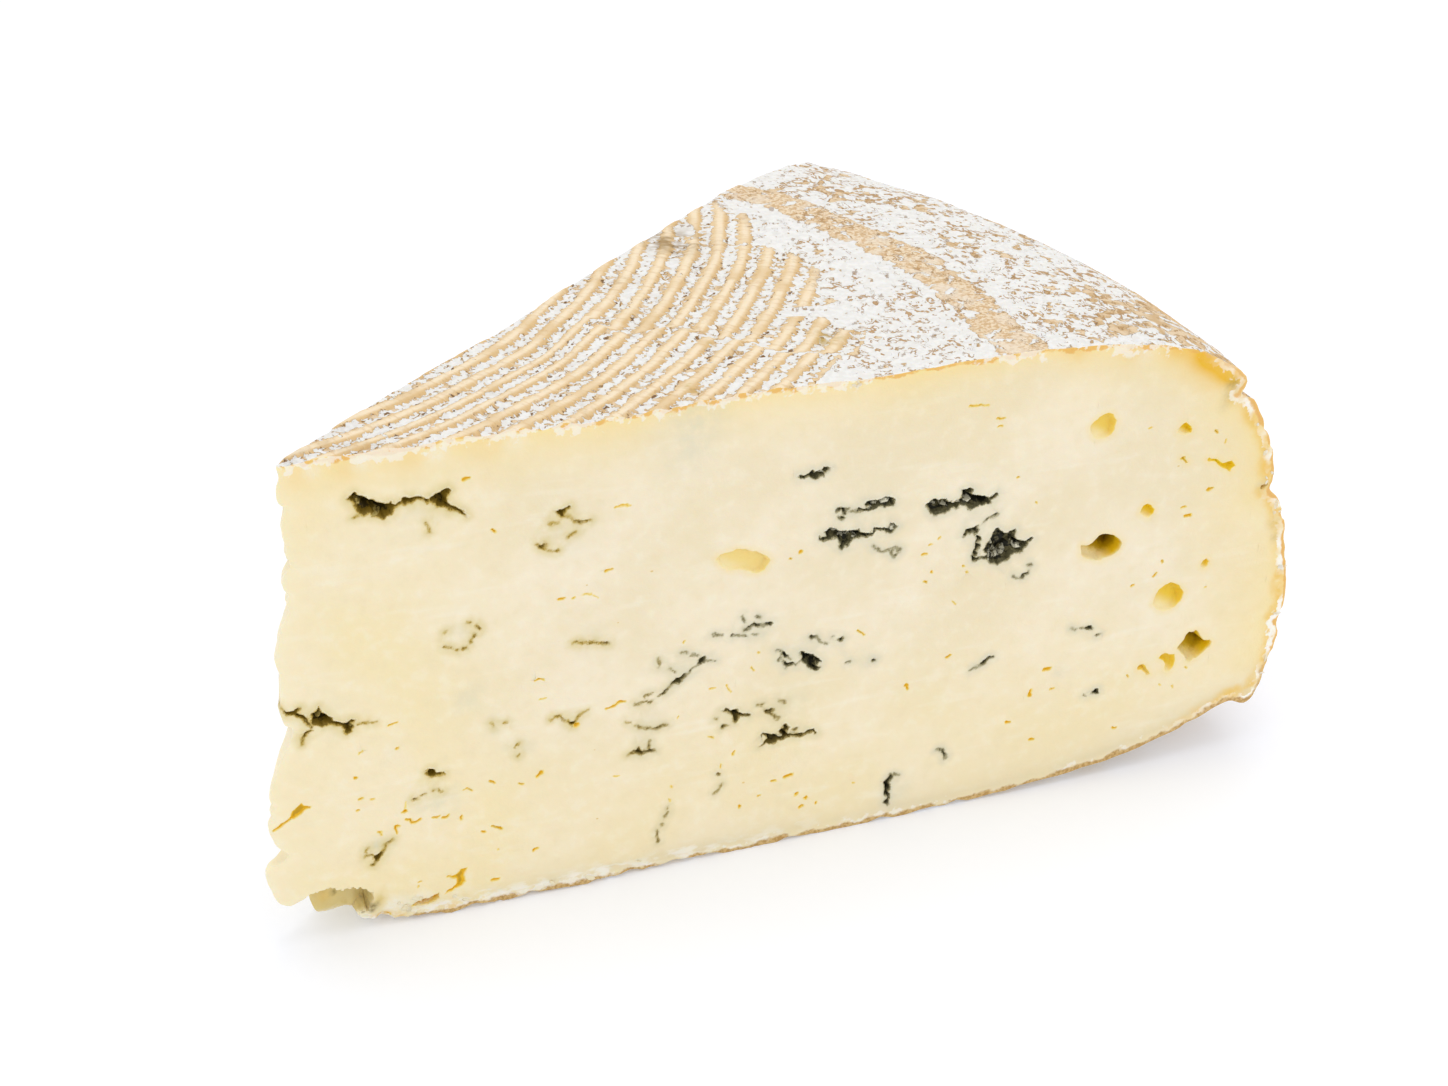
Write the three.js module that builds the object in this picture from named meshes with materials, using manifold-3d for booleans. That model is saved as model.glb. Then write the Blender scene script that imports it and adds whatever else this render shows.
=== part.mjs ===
// A wedge of blue-veined cheese, cut from a small upright wheel.
// Millimetres, +Z up. The wheel's axis runs through the tip of the wedge, the near cut
// face lies along +X, and the finished part stands on z = 0 under its own box's centre.

import * as THREE from 'three';
import { mergeVertices } from 'three/addons/utils/BufferGeometryUtils.js';
import Module from 'manifold-3d';

const wasm = await Module();
wasm.setup();

// ---- driving dimensions -------------------------------------------------------------

const WHEEL_RADIUS = 115;        // widest, low on the side
const WHEEL_HEIGHT = 59.3;
const FLAT_BASE_RADIUS = 74;     // the wheel rests on this much of its underside
const WEDGE_ANGLE = 38.2 * Math.PI / 180;
const TIP_TOP = -1.4;            // where the two cuts would meet, at the top and
const TIP_FOOT = -8.5;           // at the foot: the soft tip sags outwards
const WHEEL_STEPS = 150;

const RIDGE_CENTRE = [-18, 69];  // the mat's weave left arcs round this point
const RIDGE_FIRST_RADIUS = 66.9;
const RIDGE_PITCH = 2.95;
const RIDGE_COUNT = 12;
const RIDGE_WIDTH = 1.5;
const RIDGE_HEIGHT = 0.5;
const RIDGE_STEPS = 96;
const RIDGE_SEAM = -40 * Math.PI / 180;   // past this bearing the arcs sit half a pitch out
const RIDGE_FIELD_RADIUS = 72;            // beyond it the top is smooth, out to the rim
const RIM_BAND = [78.5, 4.5];             // worn band round the top: mid radius and width

const BREAK_DEPTH = 2.6;         // how far the broken foot of the tip steps back

// ---- shapes -------------------------------------------------------------------------

// Seeded draw, so that the same crumbs and hollows come out each time.
function drawer(seed) {
  let state = seed;
  return () => {
    state = (state * 1664525 + 1013904223) % 4294967296;
    return state / 4294967296;
  };
}

// A geometry with positions only, its shared corners merged.
function welded(geometry) {
  geometry.deleteAttribute('normal');
  geometry.deleteAttribute('uv');
  return mergeVertices(geometry, 1e-4);
}

// A closed three.js geometry as a solid that can be joined and cut.
function toSolid(geometry) {
  const merged = welded(geometry);
  const vertProperties = new Float32Array(merged.attributes.position.array);
  const triVerts = new Uint32Array(merged.index.array);
  return new wasm.Manifold(new wasm.Mesh({ numProp: 3, vertProperties, triVerts }));
}

function toGeometry(solid) {
  const mesh = solid.getMesh();
  const geometry = new THREE.BufferGeometry();
  geometry.setAttribute('position', new THREE.BufferAttribute(mesh.vertProperties, 3));
  geometry.setIndex(new THREE.BufferAttribute(mesh.triVerts, 1));
  return geometry;
}

// A profile of [radius, height] pairs turned round the upright axis through a centre.
function turned(profile, steps, centre) {
  const points = profile.map(([r, z]) => new THREE.Vector2(r, z));
  const geometry = new THREE.LatheGeometry(points, steps);
  geometry.rotateX(Math.PI / 2);
  geometry.translate(centre[0], centre[1], 0);
  return geometry;
}

function outline(points) {
  return new THREE.Shape(points.map(([a, b]) => new THREE.Vector2(a, b)));
}

// An outline in X and Z, made thick along +Y from a given depth.
function slabAlongY(points, from, thickness) {
  const options = { depth: thickness, bevelEnabled: false };
  const geometry = new THREE.ExtrudeGeometry(outline(points), options);
  geometry.rotateX(Math.PI / 2);
  geometry.translate(0, from + thickness, 0);
  return geometry;
}

// An uneven ball on the near cut face, flattened to rx by rz and as deep as asked.
function hollow(x, z, rx, rz, depth, draw) {
  const detail = rx > 0.8 ? 1 : 0;
  const ball = welded(new THREE.IcosahedronGeometry(1, detail));
  const at = ball.attributes.position;
  for (let i = 0; i < at.count; i += 1) {
    const swell = 0.85 + 0.3 * draw();
    at.setXYZ(i, at.getX(i) * rx * swell, at.getY(i) * depth * swell, at.getZ(i) * rz * swell);
  }
  ball.translate(x, 0, z);
  return toSolid(ball);
}

// ---- the wheel ----------------------------------------------------------------------

// Half of the wheel's section, from the middle of the base round the side to the top.
const wheelProfile = [
  [0, 0], [FLAT_BASE_RADIUS, 0], [80, 0.4], [87, 0.9], [93, 1.8], [99, 3.1], [103, 4.1],
  [106, 5.6], [108.6, 6.6], [109.6, 6.9],
  [110.6, 5.8], [111.6, 5.7], [112.5, 6.6], [113.2, 9], [114, 12], [114.6, 15],
  [114.2, 16.9],
  [114.8, 18.4], [WHEEL_RADIUS, 20.5], [114.7, 23.5], [114, 27.3], [113.5, 30.5],
  [112.8, 33.4], [111.9, 34.8],
  [110.7, 35.8],
  [111.4, 37.2], [110.9, 40.3], [110, 42.8], [108.7, 45.8], [107.4, 47.9],
  [105.3, 48.8],
  [106.3, 50.3], [105.6, 51.6], [103.4, 53.3], [100.4, 55.2], [95, 56.8], [88, 57.8],
  [RIM_BAND[0] + RIM_BAND[1] / 2 + 0.4, 58.3], [RIM_BAND[0] + RIM_BAND[1] / 2 - 0.5, 58.7],
  [RIM_BAND[0] - RIM_BAND[1] / 2 + 0.5, 58.7], [RIM_BAND[0] - RIM_BAND[1] / 2 - 0.4, 58.4],
  [65, 58.5], [48, 58.9], [35, 58.5], [23, 59.1], [0, WHEEL_HEIGHT],
];

// The rim curls up from the table at the near cut and settles on it towards the far one.
const wheelGeometry = turned(wheelProfile, WHEEL_STEPS, [0, 0]);
const wheelAt = wheelGeometry.attributes.position;
for (let i = 0; i < wheelAt.count; i += 1) {
  const z = wheelAt.getZ(i);
  const bearing = Math.atan2(wheelAt.getY(i), wheelAt.getX(i));
  const settled = THREE.MathUtils.clamp(bearing / WEDGE_ANGLE, 0, 1);
  if (z < 8) wheelAt.setZ(i, z * (1 - 0.75 * settled * (1 - z / 8)));
}
const wheel = toSolid(wheelGeometry);

// ---- the two cuts and the tip -------------------------------------------------------

// Plan of the wedge, leaning so that the tip reaches further out at the foot.
const reach = WHEEL_RADIUS + 20;
const planShape = outline([
  [TIP_TOP, 0],
  [TIP_TOP + reach, 0],
  [TIP_TOP + reach, reach * Math.tan(WEDGE_ANGLE)],
]);
const plan = new THREE.ExtrudeGeometry(planShape, { depth: 70, bevelEnabled: false });
plan.translate(0, 0, -4);
const planAt = plan.attributes.position;
for (let i = 0; i < planAt.count; i += 1) {
  const sag = (TIP_FOOT - TIP_TOP) * (1 - planAt.getZ(i) / WHEEL_HEIGHT);
  planAt.setX(i, planAt.getX(i) + sag);
}

// The tip's edge as it is torn by the knife, from the top down, and the broken foot.
const tipEdge = [
  [-0.8, 62], [-0.9, 57], [-0.4, 50], [-1.2, 46.5], [-0.9, 43], [-2.2, 40.4], [-3, 36.5],
  [-2.7, 31.2], [-3.3, 29], [-3.1, 26.6], [-2.3, 25.4], [-4.2, 22], [-5.2, 18],
  [-5.6, 16.2], [-4.7, 13.6], [-4, 12], [-6, 11.3], [-6.4, 10], [-6, 7.6], [-5, 5.8],
  [-3.9, 5.4], [-2.1, 6.1], [-1.8, 4.4], [-0.2, 3.5], [2.9, 3.6], [3.3, 2], [4.8, 1],
  [7.5, 0.1], [10, -2],
];
const faceOutline = [...tipEdge, [WHEEL_RADIUS + 5, -2], [WHEEL_RADIUS + 5, 62]];
const wedgeSlab = slabAlongY(faceOutline, -2, 90);

const brokenFoot = [
  [-6, 4.4], [-3.9, 5.4], [-2.1, 6.3], [0, 7], [2, 6], [3.7, 5.7], [4.8, 4.6],
  [6, 3.6], [5, 2.9], [3.2, 3.4], [2, -1], [-6, -1],
];
const brokenSlab = slabAlongY(brokenFoot, -1, 1 + BREAK_DEPTH);

// ---- ridges on the top --------------------------------------------------------------

// One raised arc is a low ring round the ridge centre, sunk into the top.
const ridgeTop = WHEEL_HEIGHT - 0.35 + RIDGE_HEIGHT;
function ridge(radius) {
  const half = RIDGE_WIDTH / 2;
  return turned([
    [radius - half, ridgeTop - 2], [radius + half, ridgeTop - 2],
    [radius + half, ridgeTop - RIDGE_HEIGHT], [radius + half * 0.45, ridgeTop],
    [radius - half * 0.45, ridgeTop], [radius - half, ridgeTop - RIDGE_HEIGHT],
    [radius - half, ridgeTop - 2],
  ], RIDGE_STEPS, RIDGE_CENTRE);
}

// A set of ridges, kept between two bearings from the ridge centre.
function ridgeSet(offset, fromBearing, toBearing) {
  const far = 140;
  const steps = 6;
  const sector = [[0, 0]];
  for (let i = 0; i <= steps; i += 1) {
    const bearing = fromBearing + (toBearing - fromBearing) * i / steps;
    sector.push([far * Math.cos(bearing), far * Math.sin(bearing)]);
  }
  const block = new THREE.ExtrudeGeometry(outline(sector), { depth: 10, bevelEnabled: false });
  block.translate(RIDGE_CENTRE[0], RIDGE_CENTRE[1], ridgeTop - 6);
  let rings = null;
  for (let i = 0; i < RIDGE_COUNT; i += 1) {
    const ring = toSolid(ridge(RIDGE_FIRST_RADIUS + RIDGE_PITCH * i + offset));
    rings = rings === null ? ring : rings.add(ring);
  }
  return rings.intersect(toSolid(block));
}

const ridgeField = toSolid(turned([
  [0, 50], [RIDGE_FIELD_RADIUS, 50], [RIDGE_FIELD_RADIUS, 62], [0, 62],
], 60, [0, 0]));
const ridges = ridgeSet(0, RIDGE_SEAM, 0.35)
  .add(ridgeSet(RIDGE_PITCH / 2, -1.75, RIDGE_SEAM))
  .intersect(ridgeField);

// ---- eyes and mould hollows in the near cut face --------------------------------------

// Smooth round eyes near the rind: x, z, half width, half height, depth.
const eyes = [
  [88.7, 47.8, 1.7, 1.7, 1.1], [99, 45.7, 0.9, 0.75, 1], [95.3, 35.7, 0.95, 0.95, 1],
  [90.2, 32.2, 2.5, 1.7, 3], [99.3, 23.5, 1.9, 1.9, 2.2], [103.6, 27.2, 0.6, 0.6, 0.7],
  [103.4, 15.8, 2.1, 2.1, 3.4], [100.1, 14.2, 1.1, 1.3, 1.6], [96.9, 13.8, 0.7, 0.8, 1],
  [102.6, 41, 0.8, 0.5, 0.8], [104.9, 39.8, 1, 0.75, 1], [82.5, 13.9, 0.7, 0.7, 1],
  [47.6, 38.8, 3.1, 1.4, 0.6],
];

// Mould grew in cracks: each is a chain of ragged pockets, x, z and radius.
const cracks = [
  [[6.9, 53.9, 1.2], [9.2, 52.8, 1.3], [11.7, 53, 0.6], [15.1, 52.8, 1], [17.3, 50.9, 0.4]],
  [[-2.2, 30.4, 0.4], [0.8, 29.3, 1], [2.6, 28.4, 0.5], [3.9, 27.6, 0.8], [6, 27.3, 0.3]],
  [[12.1, 19.4, 0.8], [13.4, 19, 0.3]],
  [[27.5, 49, 0.7], [29.8, 47.2, 0.3]],
  [[53.7, 48, 0.3], [54.9, 48.1, 0.7], [56.4, 48.4, 0.5]],
  [[58.4, 43.1, 0.6], [61.2, 43, 0.6], [63.8, 43.2, 0.7]],
  [[56.3, 40, 0.4], [58.7, 39.4, 1], [60.4, 39.7, 0.7], [63.5, 39.8, 0.5], [65, 39.9, 0.4]],
  [[69.2, 41.4, 1], [71.7, 41.3, 0.7], [73.2, 42.1, 0.9], [73.9, 41.1, 0.8], [76.1, 41.3, 0.6]],
  [[77.6, 35.7, 1.7], [78.9, 34.7, 1.9], [77.2, 33.5, 1.3], [75, 34.6, 0.8], [73.6, 37.5, 0.6]],
  [[79.4, 30.4, 0.4], [80.3, 30.1, 0.4], [81.3, 31.3, 0.3]],
  [[52, 25.8, 0.7], [53.1, 24.5, 0.5], [54.9, 24.9, 1], [55.9, 23.4, 0.5]],
  [[45.1, 20, 0.3], [46.2, 19.2, 0.9], [48.1, 18.6, 0.4]],
  [[50.8, 14.9, 0.9], [52.4, 15.2, 0.9], [54.1, 14.8, 0.5], [56, 14.7, 0.3]],
  [[38.1, 23.9, 0.4], [39.9, 25.2, 0.6], [42.6, 27.3, 0.3]],
  [[65.3, 5.8, 0.5], [65.1, 4.2, 0.9], [65.2, 2.4, 0.6]],
  [[74.9, 19, 0.3], [77, 19.9, 0.6]],
  [[91, 12.2, 0.5]],
];

// A ragged pocket narrows inwards from the cut face.
function pocket(x, z, r, draw) {
  const deep = r * 1.7;
  const sides = 7;
  const body = welded(new THREE.CylinderGeometry(r * 0.5, r, deep * 2, sides));
  const at = body.attributes.position;
  for (let i = 0; i < at.count; i += 1) {
    const swell = 0.7 + 0.6 * draw();
    at.setXYZ(i, at.getX(i) * swell, at.getY(i), at.getZ(i) * swell);
  }
  body.translate(x, 0, z);
  return toSolid(body);
}

// The thin slit that joins two pockets of a crack.
function slit([x0, z0, r0], [x1, z1, r1]) {
  const thin = Math.min(r0, r1);
  const length = Math.hypot(x1 - x0, z1 - z0);
  const body = new THREE.BoxGeometry(length, thin * 2, thin * 0.7);
  body.rotateY(-Math.atan2(z1 - z0, x1 - x0));
  body.translate((x0 + x1) / 2, 0, (z0 + z1) / 2);
  return toSolid(body);
}

function cut(solid) {
  const draw = drawer(7);
  let body = solid;
  for (const [x, z, rx, rz, depth] of eyes) {
    body = body.subtract(hollow(x, z, rx, rz, depth, draw));
  }
  for (const crack of cracks) {
    crack.forEach((point, i) => {
      body = body.subtract(pocket(...point, draw));
      if (i > 0) body = body.subtract(slit(crack[i - 1], point));
    });
  }
  return body;
}

// ---- the finished part --------------------------------------------------------------

const wedge = cut(
  wheel.add(ridges)
    .intersect(toSolid(plan))
    .intersect(toSolid(wedgeSlab))
    .subtract(toSolid(brokenSlab)),
);

const ivory = new THREE.MeshStandardMaterial({ color: 0xf1e3c2, roughness: 0.45, metalness: 0 });
const cheese = new THREE.Mesh(toGeometry(wedge), ivory);
cheese.name = 'cheese_wedge';

cheese.geometry.computeBoundingBox();
const middle = cheese.geometry.boundingBox.getCenter(new THREE.Vector3());
cheese.position.set(-middle.x, -middle.y, -cheese.geometry.boundingBox.min.z);

const part = new THREE.Group();
part.add(cheese);

export default part;
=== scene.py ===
"""A wedge of blue-veined cheese, cut from a small soft wheel.

The wedge is one body: a moist ivory paste, cut by two knife strokes, inside a thin rind
that a draining mat has ribbed on top. Its relief is modelled in millimetres round the
wheel's upright axis and then set in the frame.
"""

import math

import bmesh
import bpy
import numpy as np
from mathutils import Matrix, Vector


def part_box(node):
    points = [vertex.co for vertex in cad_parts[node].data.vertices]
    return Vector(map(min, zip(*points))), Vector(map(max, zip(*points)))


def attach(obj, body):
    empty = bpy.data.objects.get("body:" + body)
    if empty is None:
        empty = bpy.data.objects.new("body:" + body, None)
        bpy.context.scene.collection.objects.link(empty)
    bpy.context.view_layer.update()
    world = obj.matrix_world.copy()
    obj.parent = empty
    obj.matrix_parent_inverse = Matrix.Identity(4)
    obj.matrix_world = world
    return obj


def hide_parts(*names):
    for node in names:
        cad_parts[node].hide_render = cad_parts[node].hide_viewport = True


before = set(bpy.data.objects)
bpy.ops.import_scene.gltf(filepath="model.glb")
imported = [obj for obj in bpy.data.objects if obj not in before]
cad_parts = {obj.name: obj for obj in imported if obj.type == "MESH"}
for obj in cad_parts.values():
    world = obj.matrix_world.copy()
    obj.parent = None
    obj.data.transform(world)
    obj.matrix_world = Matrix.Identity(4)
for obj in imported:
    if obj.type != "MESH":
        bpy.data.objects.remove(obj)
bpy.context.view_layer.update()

# ======================================================================================
# The wheel's rind
# A skin about a millimetre thick, grown by the cheese itself: tan where the mat's cords
# pressed it smooth, and white with dry bloom between them. It bulges at the side, creases
# in three places as it settles, and curls off the table at the rim.
# ======================================================================================

MM = 0.001
TIP_REACH = 6.4                # the sagging tip passes the wheel's axis by this much
low_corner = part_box("cheese_wedge")[0]
AXIS = np.array([low_corner.x / MM + TIP_REACH, low_corner.y / MM, low_corner.z / MM])

WHEEL_HEIGHT = 59.3
WEDGE_ANGLE = math.radians(38.2)
BAND_RADIUS = 78.5             # a worn band runs round the top, inside the rim
BAND_WIDTH = 5.3

FLAT_BASE = 74                 # the base is flat out to here, and curls up beyond it

# Half of the wheel's section: distance from the axis and height, from the base outwards.
WHEEL_PROFILE = np.array([
    (0, 0), (FLAT_BASE, 0), (80, 0.4), (87, 0.9), (93, 1.8), (99, 3.1), (103, 4.1), (106, 5.6),
    (108.6, 6.6), (109.6, 6.9), (110.6, 5.8), (111.6, 5.7), (112.5, 6.6), (113.2, 9),
    (114, 12), (114.6, 15), (114.2, 16.9), (114.8, 18.4), (115, 20.5), (114.7, 23.5),
    (114, 27.3), (113.5, 30.5), (112.8, 33.4), (111.9, 34.8), (110.7, 35.8),
    (111.4, 37.2), (110.9, 40.3), (110, 42.8), (108.7, 45.8), (107.4, 47.9),
    (105.3, 48.8), (106.3, 50.3), (105.6, 51.6), (103.4, 53.3), (100.4, 55.2),
    (95, 56.8), (88, 57.8), (80, 58.5), (65, 58.5), (48, 58.9), (35, 58.5), (23, 59.1),
    (0, WHEEL_HEIGHT),
])

RIB_CENTRE = np.array([-18.0, 69.0])
RIB_FIRST = 66.9               # radius of the first mat cord's print
RIB_PITCH = 2.95               # from one print to the next
RIB_LAST = 11.4                # the outermost print, counted from the first
RIB_SEAM = math.radians(-40)   # past this bearing the prints sit half a pitch out
RIB_HEIGHT = 0.22
RIB_HALF_WIDTH = 0.62


def lattice(cells, seed):
    """A repeatable random value between 0 and 1 for each whole-number cell."""
    mixed = cells[:, 0] * 374761393 + cells[:, 1] * 668265263 + cells[:, 2] * 1440662683
    mixed = (mixed + seed * 97531) & 0xFFFFFFFF
    mixed = ((mixed ^ (mixed >> 13)) * 1274126177) & 0xFFFFFFFF
    return ((mixed ^ (mixed >> 16)) & 0xFFFF) / 65535.0


def grain(points, size, seed):
    """Smooth noise between -1 and 1 with lumps about size millimetres across."""
    scaled = points / size
    base = np.floor(scaled).astype(np.int64)
    part = scaled - base
    part = part * part * (3 - 2 * part)
    total = np.zeros(len(points))
    for corner in np.ndindex(2, 2, 2):
        share = np.where(corner, part, 1 - part).prod(axis=1)
        total += share * lattice(base + np.array(corner), seed)
    return 2 * total - 1


def rough(points, size, layers, seed):
    """Noise of several sizes, each half as large and half as strong as the last."""
    total = np.zeros(len(points))
    for layer in range(layers):
        total += grain(points, size / 2 ** layer, seed + layer) * 0.5 ** layer
    return total


def fade(low, high, value):
    """0 below low and 1 above high, smooth between; low may be the larger."""
    part = np.clip((value - low) / (high - low), 0, 1)
    return part * part * (3 - 2 * part)


def flat_points(spots):
    """Spots of a cut face, (along, height), as points to read noise at."""
    return np.column_stack([spots[:, 0], np.zeros(len(spots)), spots[:, 1]])


def from_axis(points, axis=(0, 0)):
    """How far each point lies from an upright axis: the wheel's, or another."""
    return np.hypot(points[:, 0] - axis[0], points[:, 1] - axis[1])


def bearing(points, axis=(0, 0)):
    """The direction in which each point lies from an upright axis, in radians."""
    return np.arctan2(points[:, 1] - axis[1], points[:, 0] - axis[0])


def cut_to_cut(points):
    """How far round the wedge each point lies: 0 at the near cut and 1 at the far one."""
    return np.clip(bearing(points) / WEDGE_ANGLE, 0, 1)


def rib_pattern(points):
    """Where each point lies across the mat prints (whole numbers are the middles of
    the prints), and how strongly they show there."""
    radius, angle = from_axis(points, RIB_CENTRE), bearing(points, RIB_CENTRE)
    wander = 0.35 * grain(points, 11, 3) + 0.12 * grain(points, 3, 4)
    seam = RIB_SEAM + 0.03 * grain(points, 5, 5)
    torn = fade(70, 76, radius)
    shift = np.where(angle < seam, RIB_PITCH / 2 * torn, 0.0)
    phase = (radius + wander - RIB_FIRST + shift) / RIB_PITCH
    wheel = from_axis(points)
    edge = 61 + 13 * cut_to_cut(points) + 4 * grain(points, 7, 6)
    strength = fade(edge + 5, edge - 4, wheel)
    strength *= fade(-1.2, -0.6, phase) * fade(RIB_LAST + 0.9, RIB_LAST, phase)
    gap = fade(0.4, 1.4, np.abs(angle - seam) * radius + 1.6 * grain(points, 2.5, 8))
    strength *= 1 - 0.5 * (1 - gap) * torn
    overgrown = fade(0.45, 0.7, grain(points, 4.2, 9)) * fade(edge - 16, edge - 4, wheel)
    strength *= 1 - 0.8 * overgrown
    return phase, strength


def band_strength(points):
    """How fully each point lies in the worn band round the top."""
    away = from_axis(points) - BAND_RADIUS - 3.5 * cut_to_cut(points)
    away = np.abs(away + 0.8 * grain(points, 9, 11))
    away += 0.6 * grain(points, 2.4, 12) + 0.35 * grain(points, 0.9, 13)
    return fade(BAND_WIDTH / 2 + 0.5, BAND_WIDTH / 2 - 0.5, away)


def rind_relief(points, on_top):
    """How far the rind stands out from the plain wheel, in millimetres."""
    phase, strength = rib_pattern(points)
    across = np.abs(phase - np.round(phase)) * RIB_PITCH
    teeth = 0.1 * grain(points, 0.6, 21) + 0.16 * grain(points, 2.6, 22)
    cord = fade(RIB_HALF_WIDTH + 0.28, RIB_HALF_WIDTH - 0.22, across + teeth) * strength
    band = band_strength(points)
    bloom = 0.07 * rough(points, 1.3, 3, 23) + 0.2 * grain(points, 6, 27)
    pits = 0.2 * fade(0.45, 0.75, grain(points, 1.0, 31))
    bare = np.clip(np.maximum(cord, band * 0.8), 0, 1)
    top = cord * RIB_HEIGHT + band * 0.12 + (bloom - pits) * (1 - 0.85 * bare)
    stretched = points * np.array([0.35, 0.35, 1.0])
    side = 0.2 * rough(stretched, 2.2, 3, 41) - 0.25 * fade(0.3, 0.7, grain(stretched, 1.1, 45))
    return np.where(on_top, top, side)


def along_profile(profile, step_of):
    """The profile again, with points as close as step_of asks at each place."""
    points = [profile[0]]
    for start, end in zip(profile[:-1], profile[1:]):
        length = np.hypot(*(end - start))
        count = max(1, int(round(length / step_of(start))))
        points += [start + (end - start) * (i + 1) / count for i in range(count)]
    return np.array(points)


def eased(profile, rounds):
    """Rounds off the corners of a finely stepped profile; its ends stay."""
    smooth = profile.copy()
    for _ in range(rounds):
        smooth[1:-1] = (smooth[:-2] + 2 * smooth[1:-1] + smooth[2:]) / 4
    return smooth


def object_of(name, data):
    """A new object in the scene."""
    thing = bpy.data.objects.new(name, data)
    bpy.context.scene.collection.objects.link(thing)
    return thing


def bake(piece):
    """Turns what a piece's modifiers make of it into its own plain mesh."""
    evaluated = piece.evaluated_get(bpy.context.evaluated_depsgraph_get())
    mesh = bpy.data.meshes.new_from_object(evaluated)
    piece.modifiers.clear()
    piece.data = mesh


def points_of(mesh):
    """The mesh's points in millimetres round the wheel's axis."""
    places = np.empty(len(mesh.vertices) * 3)
    mesh.vertices.foreach_get("co", places)
    return places.reshape(-1, 3) / MM - AXIS


def body_of(name, points, faces, slot):
    """A closed cheese object from points in millimetres round the wheel's axis, all in
    one material slot."""
    mesh = bpy.data.meshes.new(name)
    mesh.from_pydata(((points + AXIS) * MM).tolist(), [], faces)
    for material in (paste_material, rind_material):
        mesh.materials.append(material)
    mesh.polygons.foreach_set("material_index", [slot] * len(mesh.polygons))
    solid = bmesh.new()
    solid.from_mesh(mesh)
    bmesh.ops.recalc_face_normals(solid, faces=solid.faces)
    solid.to_mesh(mesh)
    solid.free()
    return object_of(name, mesh)


paste_material = bpy.data.materials.new("ivory_paste")
rind_material = bpy.data.materials.new("bloomy_rind")
PASTE, RIND = 0, 1             # their slots on every cheese mesh

# The rind is swept in fans from a point a little outside the tip, so that it covers
# the tip as well, where the paste sags past the wheel's own axis.
FAN_POINT = np.array([-15.0, -5.0])
FAN_FROM, FAN_TO, FAN_COLUMNS = math.radians(-1.5), math.radians(43), 134
FAN_START = 5.0
INNER_RADIUS = 22.0
BASE_ROWS, TOP_ROWS = 11, 51   # across the flat base and the inner part of the top
FRAY = 0.5                     # how far the rind frays up from the table along the cut


def rind_step(place):
    """How closely the profile is stepped: finest where the mat has left its print."""
    if place[1] < 4:
        return 1.6 if place[0] < 100 else 0.9
    return 0.42 if place[1] > 51 else 0.62


def wheel_top(radius):
    """The height of the plain wheel's top at each distance from its axis."""
    upper = WHEEL_PROFILE[WHEEL_PROFILE[:, 1] > 54][::-1]
    return np.interp(radius, upper[:, 0], upper[:, 1])


def rind_rows():
    """The plain wheel's surface as rows of points, from the middle of the base over the
    side to the middle of the top, and how much each row faces outwards and upwards."""
    fine = eased(along_profile(WHEEL_PROFILE, rind_step), 2)
    ring = fine[fine[:, 0] >= INNER_RADIUS]
    slope = np.gradient(ring, axis=0)
    outward = np.stack([slope[:, 1], -slope[:, 0]], axis=1)
    outward /= np.hypot(outward[:, 0], outward[:, 1])[:, None]
    angles = np.linspace(FAN_FROM, FAN_TO, FAN_COLUMNS)
    aim = np.stack([np.cos(angles), np.sin(angles)], axis=1)
    behind = aim @ FAN_POINT

    def reach(radius):
        """How far along each spoke of the fan it meets a circle round the axis."""
        return -behind + np.sqrt(behind ** 2 - FAN_POINT @ FAN_POINT + radius ** 2)

    inner = reach(INNER_RADIUS)
    rows = []
    for part in np.linspace(0, 1, BASE_ROWS + 1)[:-1]:
        flat = FAN_POINT + aim * (FAN_START + (inner - FAN_START) * part)[:, None]
        rows.append(np.column_stack([flat, np.zeros(FAN_COLUMNS)]))
    for radius, height in ring:
        flat = FAN_POINT + aim * reach(radius)[:, None]
        rows.append(np.column_stack([flat, np.full(FAN_COLUMNS, height)]))
    for part in np.linspace(1, 0, TOP_ROWS + 1)[1:]:
        flat = FAN_POINT + aim * (FAN_START + (inner - FAN_START) * part)[:, None]
        rows.append(np.column_stack([flat, wheel_top(from_axis(flat))]))
    faces_down, faces_up = [(0, -1)] * BASE_ROWS, [(0, 1)] * TOP_ROWS
    return np.array(rows), np.vstack([faces_down, outward, faces_up])


def grown(points, lean):
    """The plain surface with its relief, frayed at the table along the near cut and
    settled flatter towards the far one."""
    spoke = points[:, :2] / np.maximum(from_axis(points), 1)[:, None]
    direction = np.column_stack([spoke * lean[:, :1], lean[:, 1]])
    on_top = (lean[:, 1] > 0.45) & (points[:, 2] > 50)
    relief = rind_relief(points, on_top)
    under = (points[:, 2] < 1.5) & (lean[:, 1] < 0)
    relief = np.where(under, -np.abs(relief) * fade(0.1, 1.5, points[:, 2]), relief)
    points = points + direction * relief[:, None]

    frayed = np.clip(0.3 + 1.1 * grain(points * np.array([1, 0.5, 1]), 1.9, 47), 0, 1)
    frayed *= fade(2.4, 0.3, np.abs(points[:, 1])) * fade(1.2, 0.3, points[:, 2])
    points[:, 2] += FRAY * frayed * (points[:, 2] < 1.2)
    drop = 1 - 0.75 * cut_to_cut(points) * np.clip(1 - points[:, 2] / 8, 0, 1)
    points[:, 2] = np.where(points[:, 2] < 8, points[:, 2] * drop, points[:, 2])
    return points


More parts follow.
